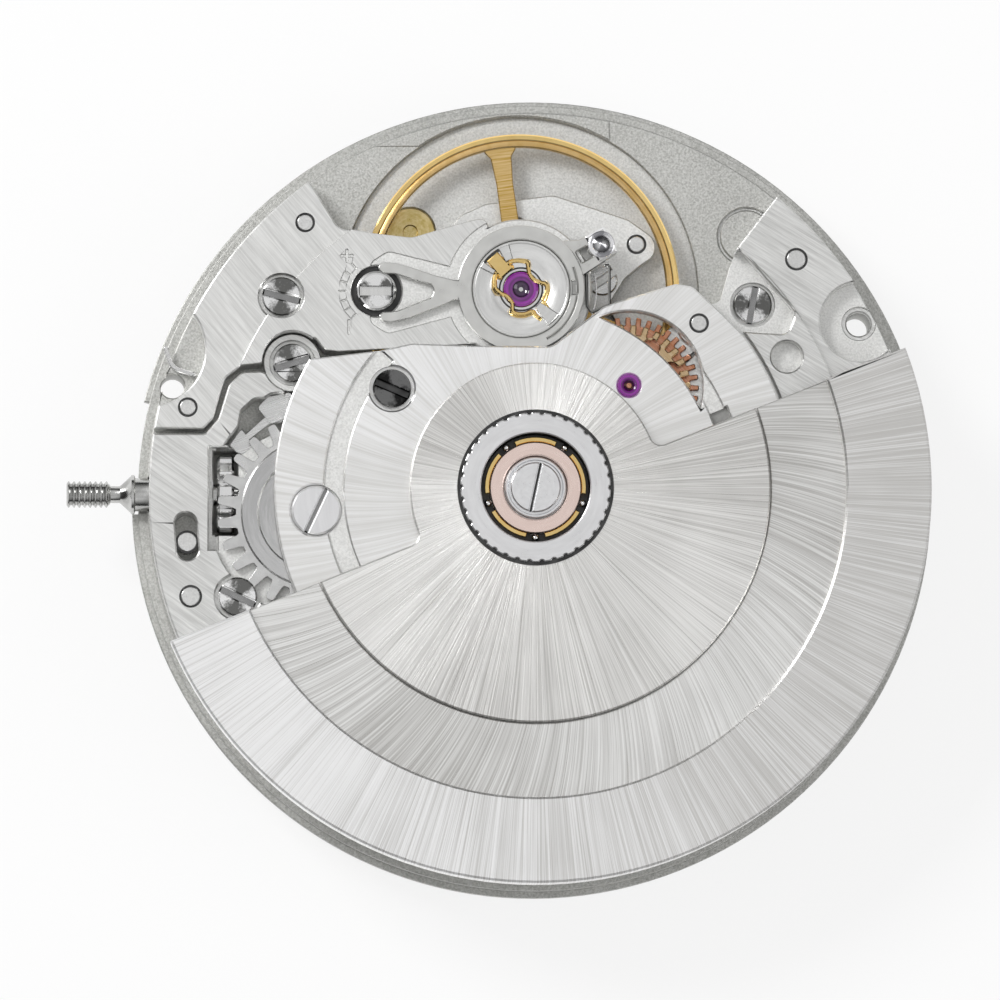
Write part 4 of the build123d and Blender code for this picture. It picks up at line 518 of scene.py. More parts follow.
def metal(name, colour, rough, pattern="plain", c=(0, 0), turn=0, shade=0.06, bump=0.25, fine=1, spiral=0,
    lobes=None):
    """Procedural metal.

    pattern is satin (straight grain), ray (grain away from c), round (grain about c), blast or plain.

    lobes is (strength, turn, count) of light and dark sectors of painted reflection, as turned and rayed finishes
    show.
    """
    n = new_material(name)
    place = n.place()
    if pattern == "satin":
        along = {"Vector": place, "Rotation": (0, 0, radians(-turn))}
        v = n.node("Mapping", along).outputs[0]
        v = n.node("Mapping", {"Vector": v, "Scale": (0.5, 15 * fine, 1.2)}).outputs[0]
    elif pattern in ("ray", "round"):
        p = n.node("VectorMath", {0: place, 1: (-c[0], -c[1], 0)}).outputs[0]
        x, y = n.node("SeparateXYZ", {0: p}).outputs[:2]
        r = n.math("SQRT", n.math("ADD", n.math("MULTIPLY", x, x), n.math("MULTIPLY", y, y)))
        sweep = a = n.math("ARCTAN2", y, x)
        if spiral:
            a = n.math("ADD", a, n.math("MULTIPLY", r, spiral))
        # the angle is wrapped on a circle so that no seam shows
        k, along = (46 * fine, 0.13) if pattern == "ray" else (2.2, 9 * fine)
        parts = ((n.math("COSINE", a), k), (n.math("SINE", a), k), (r, along))
        wrapped = {i: n.math("MULTIPLY", q, w) for i, (q, w) in enumerate(parts)}
        v = n.node("CombineXYZ", wrapped).outputs[0]
    else:
        v = place
    coarse = {"blast": (15 * fine, 3, 0.7), "plain": (2.5 * fine, 2, 0.5)}
    grain = n.noise(v, *coarse.get(pattern, (1, 3, 0.7)))
    cloud = n.noise(place, 0.35, 2, 0.5)
    tone = n.math("ADD", n.math("MULTIPLY", grain, 0.85), n.math("MULTIPLY", cloud, 0.15))
    factor = n.ramp(tone, 0, 1, 0.36, 0.62)
    # painted reflection: light and dark sectors about c added to the colour
    if lobes:
        strength, at, count = lobes
        turned_by = n.math("MULTIPLY_ADD", sweep, count, -radians(at) * count)
        factor = n.math("MULTIPLY_ADD", n.math("COSINE", turned_by), strength, factor)
    n.link(n.mix(factor, toned(colour, -shade), toned(colour, shade * 0.6)), "Base Color")
    n.link(n.ramp(tone, rough * 0.88, rough * 1.15, 0.3, 0.7), "Roughness")
    n.set({"Metallic": 1})
    if bump:
        b = n.node("Bump", {"Strength": bump, "Distance": 0.00002, "Height": grain})
        n.link(b.outputs[0], "Normal")
    return n.owner


RHODIUM = (0.8, 0.8, 0.785)
satin = metal("satin_bridge", RHODIUM, 0.34, "satin", turn=-35, shade=0.13, bump=0.4)
satin_right = metal("satin_train_bridge", RHODIUM, 0.34, "satin", turn=-32, shade=0.14, bump=0.4)
satin_cock = metal("satin_cock", RHODIUM, 0.36, "satin", turn=-50, shade=0.1, bump=0.3)
# the lobes of the rayed steels are painted reflection: broad light and dark sectors, and on the rotor rim one
# lighter side
auto_ray = metal("ray_auto_bridge", (0.97, 0.965, 0.945), 0.34, "ray", shade=0.13, spiral=0.02, fine=1.6,
    lobes=(0.25, 110, 2))
rotor_ray = metal("ray_rotor_web", (0.86, 0.85, 0.83), 0.3, "ray", shade=0.24, fine=3, bump=0.5,
    lobes=(0.2, 200, 3))
band_ray = metal("ray_rotor_band", (0.86, 0.85, 0.83), 0.3, "ray", shade=0.26, spiral=0.03, fine=3.6,
    lobes=(0.22, 190, 3))
rim_ray = metal("ray_rotor_rim", (0.9, 0.89, 0.87), 0.33, "ray", shade=0.22, fine=6, lobes=(0.4, 185, 1))
blast = metal("blasted_plate", (0.66, 0.66, 0.645), 0.55, "blast", shade=0.14, bump=0.5)
blast_pale = metal("blasted_groove", (0.76, 0.76, 0.745), 0.5, "blast", shade=0.12, bump=0.4)
round_satin = metal("plate_face", (0.54, 0.54, 0.52), 0.5, "blast", shade=0.16, bump=0.5)
polished = metal("polished_steel", (0.84, 0.84, 0.84), 0.1, shade=0.02, bump=0)
steel = metal("fine_steel", (0.76, 0.76, 0.755), 0.26, "satin", turn=20, shade=0.07, fine=2)
pin_steel = metal("pin_steel", (0.74, 0.74, 0.73), 0.34, "blast", shade=0.08)
index_steel = metal("index_steel", (0.72, 0.72, 0.7), 0.3, shade=0.02, bump=0)
# painted reflection: light and dark sectors on the shock setting's turned steel
setting_steel = metal("setting_steel", (0.86, 0.86, 0.85), 0.24, "round", c=BALANCE, shade=0.05, bump=0,
    lobes=(0.5, 60, 2))
ring_steel = metal("hub_ring_steel", (0.88, 0.88, 0.89), 0.3, "round", shade=0.03, bump=0.05)
# painted shadow: near-black for screw slots, gaps and thin sheets laid under parts
shadow_black = metal("slot_shadow", (0.07, 0.07, 0.07), 0.4, shade=0.02)
# painted shade: mid-grey for the floors of the bridge screws' slots
slot_shade_grey = metal("slot_shade_floor", (0.34, 0.34, 0.34), 0.25, shade=0.04)
# painted shade: grey for the floors of slits, grooves and small recesses, and the sheet under the stud's window
recess_shade = metal("recess_shade_floor", (0.36, 0.36, 0.35), 0.5, "blast", shade=0.05)
# painted reflection: lighter sectors on the dark screw's turned steel
dark_screw = metal("dark_screw", (0.13, 0.13, 0.13), 0.16, "round", c=DARK, shade=0.11, bump=0.02, fine=0.5,
    lobes=(0.9, 50, 2))
crown_steel = metal("crown_wheel_steel", (0.72, 0.72, 0.715), 0.24, shade=0.05, bump=0)
# painted reflection: light and dark sectors on the crown wheel's turned disc
crown_disc = metal("crown_disc_steel", (0.62, 0.62, 0.62), 0.2, "round", c=CROWN, shade=0.06, bump=0.05,
    lobes=(0.5, 60, 2))
gold_polished = metal("balance_gold", (1, 0.72, 0.3), 0.14, shade=0.03, bump=0)
# painted shade: a darker copy of the balance gold, for the rim's inner band
gold_deep = metal("deep_gold", (0.8, 0.55, 0.24), 0.2, shade=0.05, bump=0)
gold_satin = metal("gold_satin", (0.7, 0.49, 0.21), 0.34, "satin", turn=8, shade=0.16, fine=1.4)
gold_wheel = metal("wheel_gold", (0.68, 0.5, 0.3), 0.24, "round", shade=0.08)
copper = metal("wheel_copper", (0.62, 0.31, 0.2), 0.26, "round", shade=0.08)
copper_race = metal("race_copper", (1, 0.8, 0.73), 0.26, "round", shade=0.02, bump=0.05)
brass = metal("bush_brass", (0.7, 0.56, 0.26), 0.3, "round", c=BUSH, shade=0.12)
brass_plain = metal("train_brass", (0.8, 0.63, 0.34), 0.28, shade=0.05)


def screw_steel(place, slot_turn):
    """Turned steel of one screw head, with painted reflection: light and dark sectors set by the slot."""
    name = "screw_steel_%d_%d" % (round(place[0] * 100), round(place[1] * 100))
    return metal(name, (0.72, 0.72, 0.715), 0.18, "round", c=place, shade=0.55, bump=0.02, fine=0.5,
        lobes=(0.9, slot_turn + 8, 2))


def ruby_material(name, c, r):
    """Purple ruby with turned rings about c, dark in its middle with painted shade of its cup and bore."""
    n = new_material(name)
    place = n.place()
    flat = n.node("VectorMath", {0: place, 1: (1, 1, 0)}, operation="MULTIPLY").outputs[0]
    away = n.node("VectorMath", {0: flat, 1: (*c, 0)}, operation="DISTANCE").outputs["Value"]
    ripple = n.math("SINE", n.math("MULTIPLY", away, 52 * 0.49 / r))
    level = n.math("MULTIPLY_ADD", ripple, 0.16, n.ramp(away, -0.25, 0.85, 0.2 * r, r))
    deep, bright = (0.02, 0, 0.03, 1), (0.34, 0.02, 0.4, 1)
    n.link(n.mix(n.ramp(level, 0, 1), deep, bright), "Base Color")
    n.set({"Roughness": 0.08, "Coat Weight": 0.25, "Coat Roughness": 0.03, "IOR": 1.77})
    return n.owner


ruby = ruby_material("ruby", REVERSER_A, 0.36)
shock_ruby = ruby_material("shock_ruby", BALANCE, 0.56)
WHITE = (0.86, 0.86, 0.84)
enamel = new_material("date_white")
grain = enamel.noise(enamel.node("TexCoord").outputs["Object"], 9000, 2, 0.5)
enamel.link(enamel.mix(grain, toned(WHITE, -0.02), toned(WHITE, 0.02)), "Base Color")
enamel.set({"Roughness": 0.55})

# Main plate

NOTCHES = ((-2.7, 4.3), (166, 182.4))
flange_gap = sector(13.4, 12.8, *NOTCHES[0]) + sector(13.4, 12.8, *NOTCHES[1])
keyless = loop([(-12.4, -0.5), (-12.35, 1), (-11.2, 3.3), (-10.2, 4.2), (-9, 4.4), (-7, 4.2), (-7, 0), (-10.4, 0),
    (-10.6, -0.5)])
CASING_HOLES = ((10.56, 5.57), (-11.69, 3.51))
BRIDGE_SCREWS = ((-8.17, 6.31), (-7.81, 4.19), (-9.57, -3.43), (7.09, 6.13), (8.6, -7.4), (-3.3, -11.2))
SEATS = (2.7, 2.3, 2.6, 2.31, 2.6, 2.6)
SLOTS = (-14, 17, -25, 80, 35, 10)
MARK = (6.94, 8.47)
box_pocket = loop(corners(-10.36, -1.36, -7.48, 1.36))
stem_hole = loop(corners(-13.5, -0.56, -10, 0.56))

made = Made()
posts = [polar(7, a) for a in (95, -30, -110)]
motion = disc(2.4) + disc(0.9, MIDDLE)
for node, r in (("minute_wheel", 2.02), ("transfer_wheel", 2.22), ("setting_wheel", 1.52)):
    motion = motion + disc(r, centre(node))
holes = discs(0.39, CASING_HOLES) + disc(0.28)
feet = discs(0.4, [polar(11.8, a) for a in (62, 262)])
stack(made, [(disc(13) - flange_gap, 0, 0.5), (disc(12.8), 0, 1.1), (disc(12.5), 1.1, PLATE_TOP)],
    [(disc(11.1) - discs(0.6, posts), 0, 0.42, 1), (motion, 0.4, 0.62, 1), (keyless, 0, 0.9, 1), (feet, 0, 0.7),
    (holes, -0.1, 1.8), (box_pocket, 0.14, 1.8), (stem_hole, 0.945, 2.1), (disc(3.5), 0.85, 1.8, 1),
    (disc(3.52, THIRD), 0.85, 1.8, 1), (disc(4.54, BARREL), 0.78, 1.8, 1), (disc(1.97, ESCAPE), 0.85, 1.8, 1),
    (bar(ESCAPE, BALANCE, 2.9) + disc(1.5, FORK), 1.3, 1.8, 1), (disc(5.8, BALANCE), 1.55, 1.8, 1),
    (disc(0.9, BALANCE), 0.85, 1.8, 1), (ring(0.93, 0.86, MARK), 1.65, 1.8, 1), (disc(0.8, BUSH), 1.05, 1.8, 1)],
    bevel=0.05)
# raised field of the rim near the balance
field = shape([(-5.34, 11.37), (2.51, 11.37), (2.44, 13.2), (-5.82, 13.2)], 0.1)
field = field & (disc(12.46) - disc(5.86, BALANCE))
slab(made, field, PLATE_TOP, 1.8, bevel=0.02)
look("main_plate", made, [round_satin, blast])

made = Made()
turned(made, [(0.795, 1.06), (0.795, 1.58), (0.76, 1.61), (0.25, 1.61), (0.22, 1.5), (0, 1.5)], BUSH)
turned(made, [(0.28, 0.85), (0.145, 0.85), (0.145, -1.3), (0.28, -1.3), (0.28, 0.85)])
look("brass_bushes", made, [brass])

# Bridges

RIM = disc(12.44)
BARREL_BRIDGE = [(-13.5, 1.85), (-10.62, 1.85), (-10.2, 2.35), (-9.87, 3.44), (-9.43, 3.87), (-8.72, 3.89),
    (-8.01, 3.2), (-8.09, 3.04), (-9.04, 3), (-9.47, 2.61), (-9.55, 2.1), (-10, 1.5), (-9.5, 1.36), (-8, 2.1),
    (-6, 2.45), (-4.4, 2), (-3.9, 1), (-2.75, -1.3), (0.45, -2.75), (0.8, -5.9), (2.6, -9.1), (3.7, -13.5),
    (-13.5, -13.5)]
SCREW_CUTS = [(disc(0.73, place), seat, OPEN) for place, seat in zip(BRIDGE_SCREWS, SEATS)]
STOP = [(-8.3, 2.6), (-4.23, 2.52), (-9.55, 1.55)]


def stop_face(grow=0):
    width = 0.24 + 2 * grow
    return bar(STOP[0], STOP[1], width) + bar(STOP[0], STOP[2], width) + disc(0.36 + grow, STOP[0])


made = Made()
arm_boss = disc(0.93, BRIDGE_SCREWS[1])
BARREL_CORNERS = [0.1, 0.15, 0.25, 0.3, 0.35, 0.4, 0.1, 0.1, 0.3, 0.3, 0.15, 0.02, 0.1, 0.3] + [0.4] * 9
winding_slot = loop(corners(-10.27, -1.42, -9.56, 1.42))
slot_ledge = loop(corners(-10.5, -1.9, -10.2, 1.42))
stack(made, [((shape(BARREL_BRIDGE, BARREL_CORNERS) & RIM) - arm_boss, *BRIDGE), (arm_boss, 1.77, 2.6),
    (disc(0.95, CROWN), 2.5, 3.16)], [(ring(3.4, 0.95, CROWN), RECESS, OPEN, 1),
    (disc(3.18, BARREL), RECESS, OPEN, 1), (disc(3.58, REDUCTION), RECESS, OPEN, 1),
    (disc(1.39, DRIVING), RECESS, OPEN, 1), (winding_slot, 1.5, OPEN), (slot_ledge, 2.3, OPEN, 1),
    (box_pocket, 1.6, 2.43), (stop_face(0.22), 2.22, OPEN, 1),
    (bar((-11.25, -1.05), (-11.18, -1.9), 0.7), 1.6, OPEN),
    (bar((-7.1, -9), (-6.684, -8.695), 1.1), RECESS, OPEN, 1)] + SCREW_CUTS, bevel=0.05)
look("barrel_bridge", made, [satin, blast_pale])

TRAIN_BRIDGE = [(8.5, 10.45), (6.59, 7.96), (6.35, 7.35), (6, 6.1), (5.2, 6.3), (4.7, 5.6), (4.3, 4.6), (3.4, 4.3),
    (0.4, 3.9), (-2.4, 3.3), (-3.75, 2), (-3.65, 1.2), (-2.6, -1.15), (0.62, -2.6), (0.97, -5.85), (2.77, -9.05),
    (3.9, -13.5), (14, -13.5), (14, 10.45)]
train_recess = shape([(6.58, 7.96), (8.47, 5.81), (8.2, 5.1), (6.58, 5.2), (5.5, 5.6), (5.4, 6.4), (6.35, 7.35)],
    0.35)
made = Made()
train_face = shape(TRAIN_BRIDGE, [0.05, 0.2] + [0.3] * 15 + [0, 0]) & RIM
stack(made, [(train_face, *BRIDGE), (train_face & ring(10.33, 8.52), 2.9, 3.2)],
    [(train_recess, 2.61, OPEN, 1), (disc(5.42, BALANCE), 2.15, OPEN, 1), (disc(3.58, REDUCTION), RECESS, OPEN, 1),
    (disc(4.64, DRIVING), 2.9, OPEN), (disc(0.78, REVERSER_B), RECESS, OPEN, 1),
    (bar(REVERSER_A, DARK, 1.22) + bar(REVERSER_A, AUTO_PIN, 1.22), 2.68, OPEN, 1),
    (disc(1.3, CASING_HOLES[0]), 2.2, OPEN, 1), (disc(0.54, CASING_HOLES[0]), 2.08, OPEN),
    (disc(0.39, CASING_HOLES[0]), 1.6, OPEN), (disc(0.51, (8.17, 4.38)), 2.7, OPEN, 1)] + SCREW_CUTS, bevel=0.05)
look("train_bridge", made, [satin_right, blast_pale])

PALLET = [(-2.74, 8.5), (-2.42, 9.05), (-1.56, 9.45), (0.65, 9.75), (3.08, 8.96), (3.97, 8.33), (3.97, 7.78),
    (3.42, 7.4), (2.96, 7), (2.53, 6.28), (2.25, 5.6), (2.2, 4.45), (0.6, 4.15), (0.5, 5), (1.2, 6), (1.4, 7),
    (0.6, 7.8), (-1.5, 8), (-2.5, 7.8)]
look("pallet_bridge", stack(Made(), [(shape(PALLET, 0.5), 1.56, 2.12)],
    [(disc(2.9, FORK), 1.5, 1.84), (disc(0.28, (3.35, 8.15)), 1.5, 2.2), (disc(0.46, (-0.6, 8.55)), 1.92, 2.2)],
    bevel=0.04), [blast_pale])

COCK = [(-7.6, 10.6), (-6.32, 8.54), (-5.3, 8.35), (-3.96, 8.2), (-2.55, 8.63), (-1.5, 8.9), (-1.2, 4.8),
    (-2.06, 4.75), (-6.32, 4.5), (-6.77, 4.55), (-7.09, 4.97), (-8.86, 4.11), (-9.47, 4.05), (-9.98, 3.67),
    (-10.14, 3.15), (-10.36, 2.35), (-10.68, 2.02), (-14, 2.02), (-14, 10.6)]
cock = Made()
cock_face = shape(COCK, [0, 0.5, 0.6, 0.6, 0.6, 0.3, 0.3, 0.3, 0.3, 0.2, 0.1, 0.1, 0.3, 0.3, 0.3, 0.2, 0.15, 0, 0])
fork_recess = shape([(-2.3, 7.15), (-4.74, 7.75), (-5.3, 7.38), (-5.3, 5.43), (-4.74, 5.08), (-2.3, 5.75)],
    [0.1, 0.35, 0.3, 0.3, 0.35, 0.1]) + ring(2.42, 1.58, BALANCE)
ECCENTRIC = (-5.11, 6.46)
marks = [sector(1, 0.95, -42, 42, ECCENTRIC)]
for turn in range(132, 229, 16):
    marks.append(bar(polar(1, turn, ECCENTRIC), polar(1.2, turn, ECCENTRIC), 0.035))
for px, py, u, v in ((348, 257, 0.18, 0), (348, 257, 0, 0.18), (350, 328, 0, 0.2)):
    x, y = under(px, py, COCK_TOP)
    marks.append(bar((x - u, y - v), (x + u, y + v), 0.07))
# the floor of the recess round the eccentric screw is painted shadow, near-black
stack(cock, [((cock_face & disc(10.33)) + ring(2.3, 1.58, BALANCE), BRIDGE[0], COCK_TOP),
    (cock_face & (RIM - disc(10.33)), *BRIDGE)], [(disc(5.42, BALANCE), 1.7, 3),
    (disc(1.87, (-12.5, 4.6)), 1.7, OPEN), (disc(0.98, BRIDGE_SCREWS[1]), 1.7, OPEN),
    (disc(1.58, BALANCE), 1.7, OPEN), (fork_recess, 3.25, OPEN, 1), (union(marks), 3.25, OPEN, 1),
    (disc(0.82, ECCENTRIC), 3.12, OPEN, 3)] + SCREW_CUTS, bevel=0.05)
look("balance_cock", cock, [satin_cock, blast_pale, recess_shade, shadow_black])

AUTO = [(-9.5, 3.9), (-7.17, 4.21), (-4.98, 4.48), (-3.98, 4.71), (-2.07, 4.65), (0.54, 4.63), (2.19, 5.9),
    (2.65, 6.09), (4.56, 6.68), (5.09, 6.59), (5.96, 5.8), (9.5, 2.2), (9.5, -9.5), (-9.5, -9.5)]
auto = Made()
window = disc(2.42, REVERSER_A) - disc(5.95)
groove = sector(6.8, 6.18, 138, 228) + sector(6.64, 6.16, 15, 44)
# the bead's floor carries painted shade
bead = sector(6.75, 6.16, 14, 23.5)
auto_face = shape(AUTO, [0, 0, 0.5, 0.3, 0.3, 0.5, 0.3, 0.3, 0.4, 0.4, 0.4, 0, 0, 0]) & disc(8.4)
stack(auto, [(auto_face, *AUTO_SPAN), (ring(1.3, 0.98), 3.16, 3.94), (disc(0.98), 3.16, 4.08),
    (disc(0.7, AUTO_PIN), 2.9, 3.2), (disc(0.7, (6.5, -4.1)), 2.9, 3.2)],
    [(disc(2.42, BALANCE), 3.1, 3.62), (groove, 3.63, OPEN, 1), (bead, 3.5, OPEN, 2), (window, 3.1, OPEN),
    (discs(2.1, (REVERSER_A, REVERSER_B)), 3.1, 3.52), (ring(2.87, 1.3), 3.28, OPEN, 1),
    (disc(0.73, DARK), 3.45, OPEN), (disc(0.83, CROWN), 3.45, OPEN),
    (discs(0.37, (REVERSER_A, REVERSER_B)), 3.1, OPEN)], bevel=0.05)
look("auto_bridge", auto, [auto_ray, blast_pale, recess_shade])

lower_auto = bar(REVERSER_A, DARK, 1.1) + bar(REVERSER_A, AUTO_PIN, 1.1)
look("lower_auto_bridge", stack(Made(), [(lower_auto, 2.68, 2.88), (disc(0.67, DARK), 2.68, 3.16)],
    [(disc(0.37, REVERSER_A), 2.6, 3)]), [satin])

guard_holes = disc(1.2, polar(7, 150)) + disc(1.5, polar(7, -70)) + disc(1.4, polar(7, -155))
look("guard_plate", slab(Made(), disc(9.5) - disc(2.35) - guard_holes - discs(0.42, posts), 0, 0.07, bevel=0.02),
    [round_satin])

# Screws, pins, jewels


def screw_head(made, place, r, low, top, turn, slot=0.2, mat=0, dark=1, depth=0.13):
    """Round head with a bevelled edge and a straight slot."""
    groove = loop(placed(corners(-2 * r, -slot / 2, 2 * r, slot / 2), turn, place))
    stack(made, [(disc(r, place), low, top)], [(groove, top - depth, top + 1, dark)], bevel=0.05, mat=mat)


made = Made()
screw_mats = [screw_steel(place, turn) for place, turn in zip(BRIDGE_SCREWS, SLOTS)]
for k, (place, seat, turn) in enumerate(zip(BRIDGE_SCREWS, SEATS, SLOTS)):
    screw_head(made, place, 0.63, seat, seat + 0.32, turn, mat=k, dark=6)
screw_head(made, CROWN, 0.79, 3.45, 3.76, 65, slot=0.11, mat=7, dark=6)
screw_head(made, (-0.6, 8.55), 0.42, 1.92, 2.12, 0, mat=8, dark=6)
screw_head(made, (2.24, 6.97), 0.5, 1.98, 2.2, 35, mat=8, dark=6)
for p in posts:
    screw_head(made, p, 0.41, 0, 0.2, 20, slot=0.12, mat=8, dark=6)
look("bridge_screws", made, screw_mats + [slot_shade_grey, ring_steel, steel])
dark = Made()
screw_head(dark, DARK, 0.62, 3.45, 3.76, -23, slot=0.19)
look("dark_screw", dark, [dark_screw, shadow_black])

pins = Made()
PINS = ((0.28, 2.93, (-7.41, 8.73), (-11.19, 2.71)),
    (0.33, 2.93, (-11.08, -3.42), (1.6, -11.3), (8.5, 7.59), (5.2, -10.6)), (0.28, 2.16, (3.35, 8.15)),
    (0.28, 3.78, AUTO_PIN), (0.33, 2.86, (-11.2, -1.65)))
for c, r, top in [(c, r, top) for r, top, *places in PINS for c in places]:
    turned(pins, [(r, top - 0.9), (r, top - 0.05), (r - 0.05, top - 0.01), (0, top - 0.01)], c)
    # painted shade: near-black collar round each pin's top
    turned(pins, [(r - 0.03, top - 0.06), (r + 0.04, top - 0.06), (r + 0.04, top - 0.025), (r - 0.03, top - 0.025)],
        c, mat=1)
look("locating_pins", pins, [pin_steel, shadow_black])


def jewel(made, c, r, low, high):
    """Ruby with an oil cup and a bore."""
    bore = 0.095
    profile = [(bore, low), (r, low), (r, high - 0.03), (r - 0.03, high), (r * 0.62, high)]
    turned(made, profile + [(bore * 1.3, high - 0.09), (bore, high - 0.1), (bore, low)], c)


made = Made()
JEWELS = ((3.55, REVERSER_A, REVERSER_B), (2.68, REVERSER_A), (3.16, REDUCTION, DRIVING),
    (2.35, REVERSER_B, REDUCTION, DRIVING), (2.12, MIDDLE, THIRD, (0, 0)), (1.95, ESCAPE), (1.92, FORK),
    (0.65, THIRD, ESCAPE, FORK))
for low, *places in JEWELS:
    for c in places:
        jewel(made, c, 0.36, low, low + 0.2)
jewel(made, BALANCE, 0.49, 0.65, 0.85)
turned(made, [(0, 3.2), (0.49, 3.2), (0.56, 3.37), (0.56, 3.43), (0.5, 3.46), (0.4, 3.44), (0.34, 3.46),
    (0.27, 3.46), (0.2, 3.4), (0, 3.38)], BALANCE, mat=1)
look("bearing_jewels", made, [ruby, shock_ruby])

made = Made()
turned(made, [(0.6, 3), (1.575, 3), (1.575, 3.53), (1.54, 3.57), (1.5, 3.57), (1.47, 3.5), (1.04, 3.5), (1, 3.48),
    (0.92, 3.46), (0.86, 3.42), (0.72, 3.4), (0.66, 3.4), (0.66, 3.45), (0.6, 3.45), (0.6, 3)], BALANCE)
LUG = 132
tabs = sector(1.5, 1, LUG - 27, LUG - 12, BALANCE) + sector(1.5, 1, LUG + 12, LUG + 21, BALANCE)
foot = sector(1.46, 0.74, LUG + 174, LUG + 194, BALANCE)
slab(made, tabs + foot, 3.49, 3.58)
# painted shadow: thin near-black arc at the lug and near-black ring about the jewel
slab(made, sector(1.49, 1.4, LUG - 12, LUG + 12, BALANCE), 3.49, 3.51, bevel=0, mat=1)
slab(made, ring(0.72, 0.665, BALANCE), 3.39, 3.41, bevel=0, mat=1)
look("shock_setting", made, [setting_steel, shadow_black])

lyre = Made()
RIGHT_ARM = [(507.5, 264), (514, 262), (521, 262), (527, 263.5), (528, 268), (529, 274), (533, 280), (540, 283),
    (545, 284.5), (546.5, 290), (544.5, 297), (543, 302), (547.5, 309), (549.5, 311.5)]
LEFT_ARM = [(496, 274), (495, 281.5), (496, 289.5), (501, 294), (507.5, 297.5), (512, 304), (512.5, 311), (516, 314),
    (524, 314.5), (532, 312), (535.5, 316), (539.5, 319.5)]
LYRE_Z = 3.5


def wire(points):
    return strip(seen_line(points, LYRE_Z), 0.13)


tongue = ((0.74, -24), (0.9, -16), (1.42, -9.5), (1.42, 9.5), (0.9, 16), (0.74, 24))
lyre_face = wire(RIGHT_ARM) + wire(LEFT_ARM) + loop([polar(r, LUG + a, BALANCE) for r, a in tongue])
lyre_face = lyre_face + sector(0.82, 0.7, LUG - 24, LUG + 24, BALANCE)
lyre_face = lyre_face - disc(0.6, BALANCE) + wire(RIGHT_ARM[3:9]) + wire(LEFT_ARM[2:7])
slab(lyre, lyre_face, 3.47, 3.56, bevel=0.035)
look("shock_spring", lyre, [gold_polished])

look("casing_strip", slab(Made(), strip([(-11.9, 4.7), (-11.65, 4.1), (-11, 3.85)], 0.14), 1.76, 2.2, bevel=0.02),
    [steel])

# Regulator

fork = [(-2.3, 6.95), (-2.43, 6.78), (-2.71, 6.82), (-3.24, 6.95), (-3.89, 7.17), (-4.46, 7.34), (-4.91, 7.37),
    (-5.1, 7.19), (-4.91, 7), (-4.5, 6.99), (-4.09, 6.86), (-3.69, 6.73), (-3.35, 6.66), (-3.24, 6.46),
    (-3.35, 6.22), (-3.89, 6.01), (-4.46, 5.77), (-4.91, 5.75), (-5.07, 5.61), (-4.91, 5.45), (-4.62, 5.42),
    (-4.09, 5.53), (-3.48, 5.77), (-2.87, 6.01), (-2.59, 6.15), (-2.36, 6.13), (-2.22, 5.9), (-1.9, 6.2),
    (-1.9, 6.8)]
fork_corners = [0.1, 0.1, 0.3, 1, 1, 0.6, 0.18, 0.18, 0.18, 0.5, 1, 1, 0.1, 0.2, 0.1, 1, 1, 0.15, 0.15, 0.15, 0.4, 1,
    1, 1, 0.2, 0.2, 0.05, 0, 0]
split = loop(seen_line(corners(571, 281.5, 576, 295), 3.5))
index_face = (disc(2.06, BALANCE) + shape(fork, fork_corners)) - disc(1.6, BALANCE)
groove_line = sector(1.84, 1.8, -62, 22, BALANCE)
# the slit and groove floors carry painted shade
look("index_lever", stack(Made(), [(index_face, 3.44, 3.57)], [(split + groove_line, 3.5, 4, 1)], bevel=0.04),
    [index_steel, recess_shade], "index")

stud = Made()
STUD = 29.2
stud_place = polar(2.97, STUD, BALANCE)


def by_stud(points, corner=0):
    """Outline measured from the stud block, outwards and to its left."""
    return shape(placed(points, STUD, stud_place), corner)


lug = by_stud([(-1.3, -0.62), (0.3, -0.5), (0.36, 0.44), (-0.55, 0.5), (-1, 0.72), (-1.35, 0.8)], 0.1)
window = by_stud(corners(-0.83, -0.2, -0.4, 0.2), 0.03)
frame_line = seen_line([(586, 275), (586.5, 306), (591, 312.5), (608.5, 305), (608.5, 266), (604, 266)], 3.4)
carrier = (ring(2.06, 1.6, BALANCE) + lug - window) - disc(1.6, BALANCE)
for a, b in zip(frame_line, frame_line[1:]):
    carrier = carrier + bar(a, b, 0.09)
slab(stud, carrier, 3.3, 3.43, bevel=0.04)
# painted shadow: grey sheet seen through the lug's window
shadow = by_stud(corners(-0.9, -0.26, -0.3, 0.26))
slab(stud, shadow, 3.12, 3.18, bevel=0.01, mat=3)
slab(stud, by_stud(corners(-0.35, -0.47, 0.35, 0.47), 0.06), 3, 3.6, bevel=0.06, mat=1)
turned(stud, [(0.43, 3.6), (0.43, 3.62), (0.4, 3.64), (0.29, 3.64), (0.27, 3.67), (0, 3.78)], stud_place, mat=2)
turned(stud, [(0.11, 2.72), (0.11, 3.1), (0, 3.1)], polar(2.62, STUD, BALANCE))
slab(stud, bar(polar(2.62, STUD, BALANCE), stud_place, 0.24), 3, 3.3)
# painted reflection: light and dark sectors about the stud screw
stud_cone = metal("stud_cone", (0.72, 0.72, 0.74), 0.18, "round", c=stud_place, shade=0.4, bump=0,
    lobes=(0.9, 20, 2))
look("stud_holder", stud, [index_steel, polished, stud_cone, recess_shade], "stud")

made = Made()
inner_slot = loop(corners(-5.65, 6.3, -4.63, 6.62))
stack(made, [(disc(0.64, ECCENTRIC), 3.12, 3.42)], [(inner_slot & disc(0.55, ECCENTRIC), 3.27, 4, 1)], bevel=0.07)
# the top disc carries painted reflection from screw_steel's sectors
slab(made, disc(0.52, ECCENTRIC) - inner_slot, 3.41, 3.425, bevel=0, mat=2)
eccentric_mats = [polished, setting_steel, screw_steel(ECCENTRIC, 90)]
look("eccentric_screw", made, eccentric_mats, "eccentric")

# Balance

